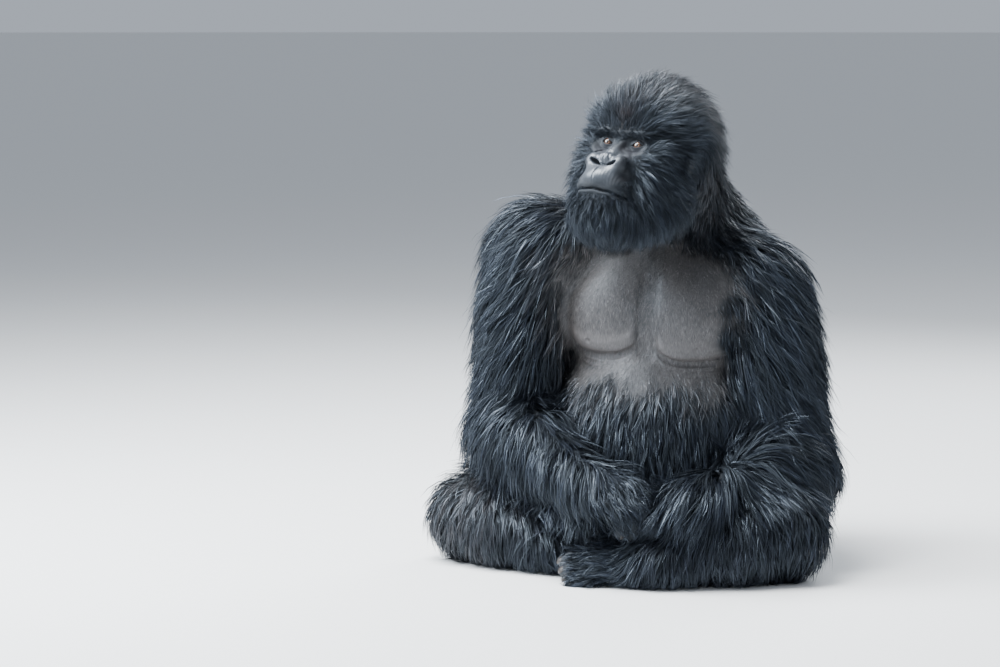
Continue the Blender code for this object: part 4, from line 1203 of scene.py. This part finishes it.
def lie_of(name, points):
    """Which way the hair of one part points."""
    down = -UP
    x, y, z = points.T
    side = LEFT if name.endswith("left") else RIGHT
    kind = name.split("_")[0]
    if kind in ("head", "jaw", "muzzle", "ear"):
        place = in_head_axes(points)
        away = unit((place - CROWN_HEART) @ head_axes.T)
        behind = ramp(-place[:, 0], 0.07, 0.20)[:, None]
        low = ramp(-place[:, 2], 0.02, 0.12)[:, None]
        return away * (1.0 - 0.55 * behind) + down * (0.12 + 0.45 * low + 0.95 * behind)
    spread = unit(np.stack((x, y - 0.03, 0.0 * z), 1))
    if kind in ("neck", "yoke"):
        return 0.55 * spread + down
    if kind == "upper":
        line, share = along_limb(points, SHOULDER, ELBOW, side)
        fall = 0.50 * line + down * 0.55
        sweep = np.array((side * 0.80, 0.42, 0.0))
        return fall + (1.0 - share) * (0.45 * spread + sweep) + share * 0.55 * sweep
    if kind == "forearm":
        line, share = along_limb(points, ELBOW, WRIST, side)
        back_up = 0.25 - 0.10 * share if side == RIGHT else 0.85 - 1.25 * ramp(share, 0.50, 0.92)
        return down * (1.0 if side == RIGHT else 0.75) - line * back_up - 0.30 * BACKWARD
    if kind == "thigh":
        line, share = along_limb(points, HIP, KNEE, side)
        return 0.45 * line + 0.8 * down + np.array((side * 0.15, 0.0, 0.0))
    if kind == "shank":
        line, share = along_limb(points, KNEE, ANKLE, side)
        return down + (0.35 - 0.55 * share) * line
    if kind == "hand":
        return np.tile(0.8 * unit(np.array(HAND_ALONG[side])) + 0.7 * down, (len(points), 1))
    if kind == "foot":
        return np.tile(unit(np.array(FOOT_ALONG[side])) + 0.20 * down, (len(points), 1))
    return down + 0.22 * spread


root_share = share_of_parts(root_points)
_, root_out = out_of(hide, root_points)
root_table = root_share @ np.array([coat_row(name) for name in part_names])
row_depth, row_length, row_lift, row_clumping = root_table.T
root_lie = np.zeros_like(root_points)
for column, name in enumerate(part_names):
    felt = np.flatnonzero(root_share[:, column] > 0.01)
    root_lie[felt] += root_share[felt, column, None] * lie_of(name, root_points[felt])
root_lie += 0.20 * sway(root_points, 0.075, 11)
forward, left, up = in_head_axes(root_points).T
root_bare, root_breast = is_bare(root_points), is_breast(root_points)
head_share = share_in(root_share, "head", "jaw", "muzzle")
beside = ramp(np.abs(left), 0.045, 0.075)
near_face = 1.0 - ramp(beyond_face(root_points) / (0.048 - 0.030 * beside), 0.0, 1.0)
near_face = head_share * near_face * ramp(forward, -0.070, -0.035)
ruff = head_share * ramp(np.abs(left), 0.055, 0.080) * ramp(forward, -0.130, -0.060) * (1.0 - near_face)
root_length = row_length * (1.0 - 0.84 * near_face) * (1.0 + 0.35 * ruff)
root_depth = row_depth * (1.0 - 0.84 * near_face) * (1.0 + 0.45 * ruff)
crest = head_share * ramp(up, 0.06, 0.13)
root_length = root_length * (1.0 + 0.12 * crest)
root_length = root_length + (0.012 - root_length) * 0.95 * root_breast
root_depth = root_depth + (0.0035 - root_depth) * root_breast
rear = head_share * ramp(-forward, 0.08, 0.17) * (1.0 - ramp(up, 0.13, 0.18))
nape = rear * (1.0 - ramp(up, -0.060, 0.000))
rear = rear - nape
root_lift = row_lift * (1.0 - 0.60 * near_face) * (1.0 - 0.4 * root_breast) * (1.0 - 0.45 * nape)
root_lift = root_lift + 8.0 * ruff
temple = ruff * bump_at(up, 0.045, 0.035)
root_depth = root_depth * (1.0 - 0.55 * nape + 0.50 * rear + 0.35 * temple)
root_length = root_length * (1.0 + 0.30 * rear + 0.20 * temple)
under_lip = head_share * bump_at(up, -0.125, 0.020) * ramp(forward, -0.010, 0.020)
root_dullness = np.maximum(0.9 * near_face, 0.30 * head_share * ramp(-up, 0.04, 0.11) + 0.7 * under_lip)
brow = head_share * bump_at(up, 0.024, 0.022) * ramp(forward, -0.070, -0.030)
root_dullness = np.maximum(root_dullness, 0.9 * brow)
# Painted shade: hair round the bare face, and most of all on the brow, is made darker than the black coat,
# standing in for the shadow under the brow.
root_marking = mixed(marking(root_points), 0.45 * BLACK_COAT, 0.85 * near_face)
root_marking = mixed(root_marking, 0.35 * BLACK_COAT, 0.7 * brow)
root_clumping = row_clumping * (1.0 - 0.7 * root_breast)
root_hang = share_in(root_share, "forearm") + 0.35 * share_in(root_share, "upper_arm")
root_hang = root_hang * ramp(-root_out[:, 2], -0.25, 0.5)
# All that is known of each point of the root skin, side by side, and the names of the columns.
root_numbers = np.stack((root_length, root_depth, root_lift, root_clumping, root_hang, 1.0 - root_bare,
                         root_breast, root_dullness), 1)
root_facts = np.concatenate((root_points, root_out, root_lie, root_marking, root_numbers), 1)
POINT, OUT, LIE, MARKING = slice(0, 3), slice(3, 6), slice(6, 9), slice(9, 12)
LENGTH, DEPTH, LIFT, CLUMPING, HANG, HAIRED, BREAST, DULLNESS = range(12, 20)

corner_points = root_points[root_triangles]
root_areas = 0.5 * np.linalg.norm(np.cross(corner_points[:, 1] - corner_points[:, 0],
                                           corner_points[:, 2] - corner_points[:, 0]), axis=1)
middle = corner_points.mean(1)
middle_part = root_share[root_triangles].mean(1).argmax(1)
middle_up = in_head_axes(middle)[:, 2]
middle_haired = (1.0 - root_bare[root_triangles].mean(1)) * (1.0 + 1.8 * near_face[root_triangles].mean(1))
middle_breast = root_breast[root_triangles].mean(1)


def in_parts(*names):
    """Which root triangles belong mostly to one of the parts."""
    return np.isin(middle_part, [part_index[name] for name in names])


skull = in_parts("head", "muzzle", "jaw", "ear_right", "ear_left")
trunk = in_parts("chest", "belly", "pectoral")
behind = middle[:, 1] > 0.03
front = trunk & ~behind
on_left = middle[:, 0] > 0.0
# Name, the triangles it grows on, number of blades, steps along a blade, width of a blade, size of a lock.
coat_pieces = [
    ("coat_crown", skull & (middle_up > 0.0), 52000, 2, 0.00070, 0.0058),
    ("coat_cheeks", skull & (middle_up <= 0.0), 54500, 2, 0.00070, 0.0070),
    ("coat_neck", in_parts("neck", "yoke_right", "yoke_left"), 18000, 3, 0.0014, 0.0110),
    ("coat_back", trunk & behind, 20000, 3, 0.0018, 0.0130),
    ("coat_breast", front & (middle_breast > 0.5), 21000, 2, 0.00060, 0.0060),
    ("coat_belly", front & (middle_breast <= 0.5), 22500, 3, 0.0014, 0.0120),
    ("coat_hands", in_parts("hand_right", "hand_left"), 8500, 3, 0.0011, 0.0080),
]
for side, this_side in ((RIGHT, ~on_left), (LEFT, on_left)):
    name = SIDE_NAME[side]
    thigh = in_parts("thigh_" + name) | (in_parts("pelvis") & this_side)
    coat_pieces += [
        ("coat_upper_arm_" + name, in_parts("upper_arm_" + name), 19500, 4, 0.0014, 0.0125),
        ("coat_forearm_" + name, in_parts("forearm_" + name), 17500, 4, 0.0014, 0.0125),
        ("coat_thigh_" + name, thigh, 13500, 3, 0.0017, 0.0120),
        ("coat_shank_" + name, in_parts("shank_" + name, "foot_" + name), 14500, 3, 0.0015, 0.0120),
    ]


def sown(triangles, count, random):
    """Roots spread evenly over some triangles by their areas, where hair grows.  Returns their facts and
    their places on the unwrap, each mixed from its triangle's corners."""
    chance = root_areas[triangles] * middle_haired[triangles]
    picked = np.searchsorted(np.cumsum(chance) / chance.sum(), random.random(count))
    chosen = triangles[picked.clip(0, len(triangles) - 1)]
    a, b = np.sqrt(random.random(count)), random.random(count)
    weights = np.stack((1.0 - a, a * (1.0 - b), a * b), 1)
    facts = np.einsum("ic,icf->if", weights, root_facts[root_triangles[chosen]])
    places = np.einsum("ic,icf->if", weights, root_maps[chosen])
    kept = facts[:, HAIRED] > random.random(count) * (1.0 - facts[:, DULLNESS] * 0.3)
    return facts[kept], places[kept]


def lock_of(points, out, size):
    """The lock of each root, and one root of each lock: roots in the same cell of a bent grid, facing the
    same way, share one."""
    bent = points + 0.35 * size * sway(points, 4.5 * size, 23)
    cell = np.floor(bent / size).astype(np.int64) + 4096
    facing = np.rint(out * 0.9).astype(np.int64) + 1
    key = ((cell[:, 0] * 8192 + cell[:, 1]) * 8192 + cell[:, 2]) * 27 + facing @ np.array((9, 3, 1))
    _, first, lock = np.unique(key, return_index=True, return_inverse=True)
    return first, lock


ROOT_DEPTH = 0.001      # how far under the skin a hair starts


def led(start, out, heading, facts, steps, random):
    """Paths of the leading hairs: each step goes on along the heading laid on the skin, lifted less and
    less, pulled down a little more each time, then is put back between the depths where its layer of the
    coat lies."""
    length, depth, lift, hang = facts[:, LENGTH], facts[:, DEPTH], np.radians(facts[:, LIFT]), facts[:, HANG]
    layer = random.uniform(0.0, 1.0, len(start)) ** 0.7
    path = [start - ROOT_DEPTH * out]
    here, normal = start, out
    for k in range(1, steps + 1):
        s = k / steps
        flat = unit(heading - (heading * normal).sum(1, keepdims=True) * normal)
        rise = lift * (1.25 - 0.9 * s) * (0.6 + 0.6 * layer)
        going = np.cos(rise)[:, None] * flat + np.sin(rise)[:, None] * normal
        droop = 0.10 + 0.9 * hang + 6.0 * np.clip(length - 0.06, 0.0, 0.05)
        going = unit(going - (droop * s)[:, None] * UP)
        here = here + going * (length / steps)[:, None]
        gap, normal = out_of(hide, here)
        least = layer * depth * 0.95 * s ** 0.55
        most = depth * (0.25 + 0.80 * s ** 0.7) + 0.040 * hang * s
        here = here + (np.clip(gap, least, np.maximum(most, least)) - gap)[:, None] * normal
        path.append(here)
        heading = unit(flat + 0.35 * going)
    return np.stack(path, 1)


def blades(path, across, width):
    """Flat blades: two points abreast at every step of the path but the last, and one point at its tip.
    With s from 0 at the root to 1 at the tip, each of the two stands half the width times
    (0.75 + 0.5 s) sqrt(1 - s^2) to its side."""
    count, rings = path.shape[0], path.shape[1] - 1
    s = np.arange(rings) / rings
    half = 0.5 * width[:, None] * (0.75 + 0.5 * s) * np.sqrt(1.0 - s ** 2)
    left = path[:, :-1] - half[..., None] * across[:, :-1]
    right = path[:, :-1] + half[..., None] * across[:, :-1]
    points = np.concatenate((np.stack((left, right), 2).reshape(count, -1, 3), path[:, -1:]), 1)
    a = 2 * np.arange(rings - 1)
    one = np.concatenate((np.stack((a, a + 1, a + 3), 1), np.stack((a, a + 3, a + 2), 1),
                          [(2 * rings - 2, 2 * rings - 1, 2 * rings)]))
    faces = (one[None] + (np.arange(count) * (2 * rings + 1))[:, None, None]).reshape(-1, 3)
    s_of = np.concatenate((np.repeat(s, 2), (1.0,)))
    edge_of = np.concatenate((np.tile((0.0, 1.0), rings), (0.5,)))
    return points.reshape(-1, 3), faces, s_of, edge_of


PATCH = 0.003           # size of a blade's patch on the unwrap
FLOOR_CLEAR = 0.0012    # no hair comes lower than this
DARK_SHARE = 0.9        # how far the darkest hairs of a light patch turn back to black
HEADING_SPREAD = math.radians(13.0)     # how far the locks' headings scatter
STRAY, WAVE = 0.13, 0.020       # by its length, how far a hair strays from its lock, and how far it waves


def grown_coat(number_of_piece, name, ground, count, steps, width, lock_size):
    """One piece of coat: sows roots, gathers them in locks, leads one hair of each lock and bends the
    others to it."""
    random = np.random.default_rng(1000 + number_of_piece)
    facts, places = sown(np.flatnonzero(ground), count, random)
    start, out = facts[:, POINT], unit(facts[:, OUT])
    first, lock = lock_of(start, out, lock_size)
    heading = unit(facts[first, LIE])
    turn = random.normal(0.0, HEADING_SPREAD, len(first))[:, None]
    heading = np.cos(turn) * heading + np.sin(turn) * np.cross(out[first], heading)
    leader = led(start[first], out[first], heading, facts[first], steps, random)
    own = len(start)
    s = np.arange(steps + 1)[None, :, None] / steps
    clump = (facts[:, CLUMPING] * random.uniform(0.55, 1.1, own))[:, None, None]
    apart = start - start[first][lock]
    reach = np.clip(random.normal(0.90, 0.16, own), 0.45, 1.25)[:, None, None]
    moved = leader[lock] - leader[lock][:, :1]
    path = (start - ROOT_DEPTH * out)[:, None] + reach * moved - apart[:, None] * clump * s ** 1.3
    tangent = unit(moved[:, -1])
    beside = np.cross(tangent, out)
    length = facts[:, LENGTH][:, None, None]
    stray = random.normal(0.0, 1.0, (own, 3)) * (random.random((own, 1)) ** 2) * 1.3
    path = path + STRAY * length * s ** 1.5 * stray[:, None] * (1.0 - 0.35 * clump)
    phase = random.uniform(0.0, 2.0 * math.pi, own)[:, None, None]
    path = path + WAVE * length * s * np.sin(phase + 5.0 * s) * beside[:, None]
    for k in range(1, steps + 1):
        gap = hide(path[:, k])
        least = 0.12 * facts[:, DEPTH] * (k / steps) + 0.0008
        path[:, k] += np.clip(least - gap, 0.0, 0.03)[:, None] * out
    path[..., 2] = np.maximum(path[..., 2], FLOOR_CLEAR)
    going = unit(np.gradient(path, axis=1))
    roll = random.normal(0.0, 0.75, own)[:, None, None]
    abreast = unit(np.cross(going, out[:, None]))
    across = np.cos(roll) * abreast + np.sin(roll) * np.cross(going, abreast)
    widths = width * random.uniform(0.55, 1.25, own) * (1.0 - 0.35 * facts[:, BREAST])
    widths = widths * np.clip(facts[:, LENGTH] / 0.03, 0.60, 1.0)
    points, faces, s_of, edge_of = blades(path, across, widths)
    per = len(s_of)
    piece = piece_of(name, points, faces)
    colour = mixed(facts[:, MARKING], BLACK_COAT, DARK_SHARE * random.random(own) ** 2)
    paint(piece, "coat_colour", np.repeat(colour, per, 0))
    paint(piece, "dullness", np.repeat(facts[:, DULLNESS], per))
    shade = random.normal(0.46, 0.29, own) + 0.22 * random.normal(0.0, 1.0, len(first))[lock]
    paint(piece, "shade", np.repeat(np.clip(shade, 0.0, 1.0), per))
    paint(piece, "tipward", np.tile(s_of, own))
    patch = places[:, None] + PATCH * np.stack((edge_of - 0.5, s_of - 0.5), 1)
    patch = np.clip(patch.reshape(-1, 2), 0.0, 1.0)
    layer = piece.data.uv_layers.new(name="OFBake")
    layer.data.foreach_set("uv", patch[faces.ravel()].astype(np.float32).ravel())
    return piece


# Hair: black pigment seen through a smooth cuticle, so most of its light is a bluish gloss; darker at the
# root.
fur, tree, shader = new_material("fur")
shade, tipward = attribute(tree, "shade"), attribute(tree, "tipward")
own_light = number(tree, "MULTIPLY", number(tree, "MULTIPLY", shade, shade), 2.6)
own_light = number(tree, "ADD", own_light, 0.15)
tip_light = number(tree, "ADD", number(tree, "MULTIPLY", tipward, 0.65), 0.55)
lightness = number(tree, "MULTIPLY", own_light, tip_light)
scaled = tree.nodes.new("ShaderNodeVectorMath")
scaled.operation = "SCALE"
tree.links.new(attribute(tree, "coat_colour", "Color"), scaled.inputs[0])
tree.links.new(lightness, scaled.inputs["Scale"])
tree.links.new(scaled.outputs[0], shader.inputs["Base Color"])
dull = number(tree, "MULTIPLY", attribute(tree, "dullness"), 0.40)
dull = number(tree, "ADD", dull, 0.66)
rough = number(tree, "SUBTRACT", dull, number(tree, "MULTIPLY", shade, 0.38))
tree.links.new(rough, shader.inputs["Roughness"])
shader.inputs["Specular IOR Level"].default_value = 0.54
shader.inputs["Specular Tint"].default_value = (0.70, 0.84, 1.0, 1.0)

for i, row in enumerate(coat_pieces):
    piece = grown_coat(i, *row)
    piece.data.materials.append(fur)
    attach(piece, "root")

# ---------------------------------------------------------------- studio
# A pale floor, wide enough for any view, soft light from large panels, and the camera in front of the
# animal, a little to its left and above its head.
FLOOR_SPAN, FLOOR_SEGMENTS = 360.0, 96


def disc(name, span, segments):
    """A flat round sheet at height 0: radius times (cos, sin) of an even angle, joined to its centre."""
    angle = np.linspace(0.0, 2.0 * math.pi, segments, endpoint=False)
    ring = np.stack((np.cos(angle), np.sin(angle), 0.0 * angle), 1) * span / 2.0
    corner = np.arange(segments)
    faces = np.stack((np.full(segments, segments), corner, (corner + 1) % segments), 1)
    return piece_of(name, np.concatenate((ring, np.zeros((1, 3)))), faces)


floor = disc("floor", FLOOR_SPAN, FLOOR_SEGMENTS)
floor_paint, tree, shader = new_material("floor_paint")
shader.inputs["Base Color"].default_value = (0.76, 0.76, 0.755, 1.0)
shader.inputs["Roughness"].default_value = 0.75
floor.data.materials.append(floor_paint)

world = bpy.data.worlds.new("studio")
world.use_nodes = True
world.node_tree.nodes["Background"].inputs["Color"].default_value = (0.80, 0.88, 1.0, 1.0)
world.node_tree.nodes["Background"].inputs["Strength"].default_value = 0.55
bpy.context.scene.world = world


def panel(name, place, aim, span, watts, colour):
    """A square lamp, turned so that it shines from its place towards its aim."""
    lamp = bpy.data.lights.new(name, "AREA")
    lamp.size, lamp.energy, lamp.color = span, watts, colour
    stand = bpy.data.objects.new(name, lamp)
    stand.location = place
    stand.rotation_euler = (Vector(aim) - Vector(place)).to_track_quat("-Z", "Y").to_euler()
    bpy.context.scene.collection.objects.link(stand)


panel("light_above", (-1.0, -0.9, 3.8), (0.0, 0.0, 0.5), 2.4, 520.0, (0.95, 0.98, 1.0))
panel("light_right", (-3.3, -1.3, 2.5), (0.0, 0.0, 0.6), 2.4, 400.0, (0.86, 0.93, 1.0))
panel("light_front", (0.4, -4.6, 1.7), (0.0, 0.0, 0.6), 1.1, 40.0, (0.88, 0.94, 1.0))
panel("light_left", (3.4, -0.6, 2.4), (0.0, 0.0, 0.5), 1.6, 12.0, (0.88, 0.94, 1.0))
panel("light_behind", (0.6, 3.4, 2.8), (0.0, 0.0, 0.6), 2.0, 160.0, (0.90, 0.95, 1.0))

CAMERA_PLACE = (1.9599, -6.5010, 1.2038)
CAMERA_HEADING, CAMERA_PITCH = 20.0, -6.0       # degrees
CAMERA_LENS, CAMERA_FILM = 110.0, 36.0          # focal length and width of the picture behind it, mm
camera_data = bpy.data.cameras.new("camera")
camera_data.lens, camera_data.sensor_width = CAMERA_LENS, CAMERA_FILM
camera_data.clip_end = 200.0
camera = bpy.data.objects.new("camera", camera_data)
camera.location = CAMERA_PLACE
camera.rotation_euler = (math.radians(90.0 + CAMERA_PITCH), 0.0, math.radians(CAMERA_HEADING))
bpy.context.scene.collection.objects.link(camera)
bpy.context.scene.camera = camera
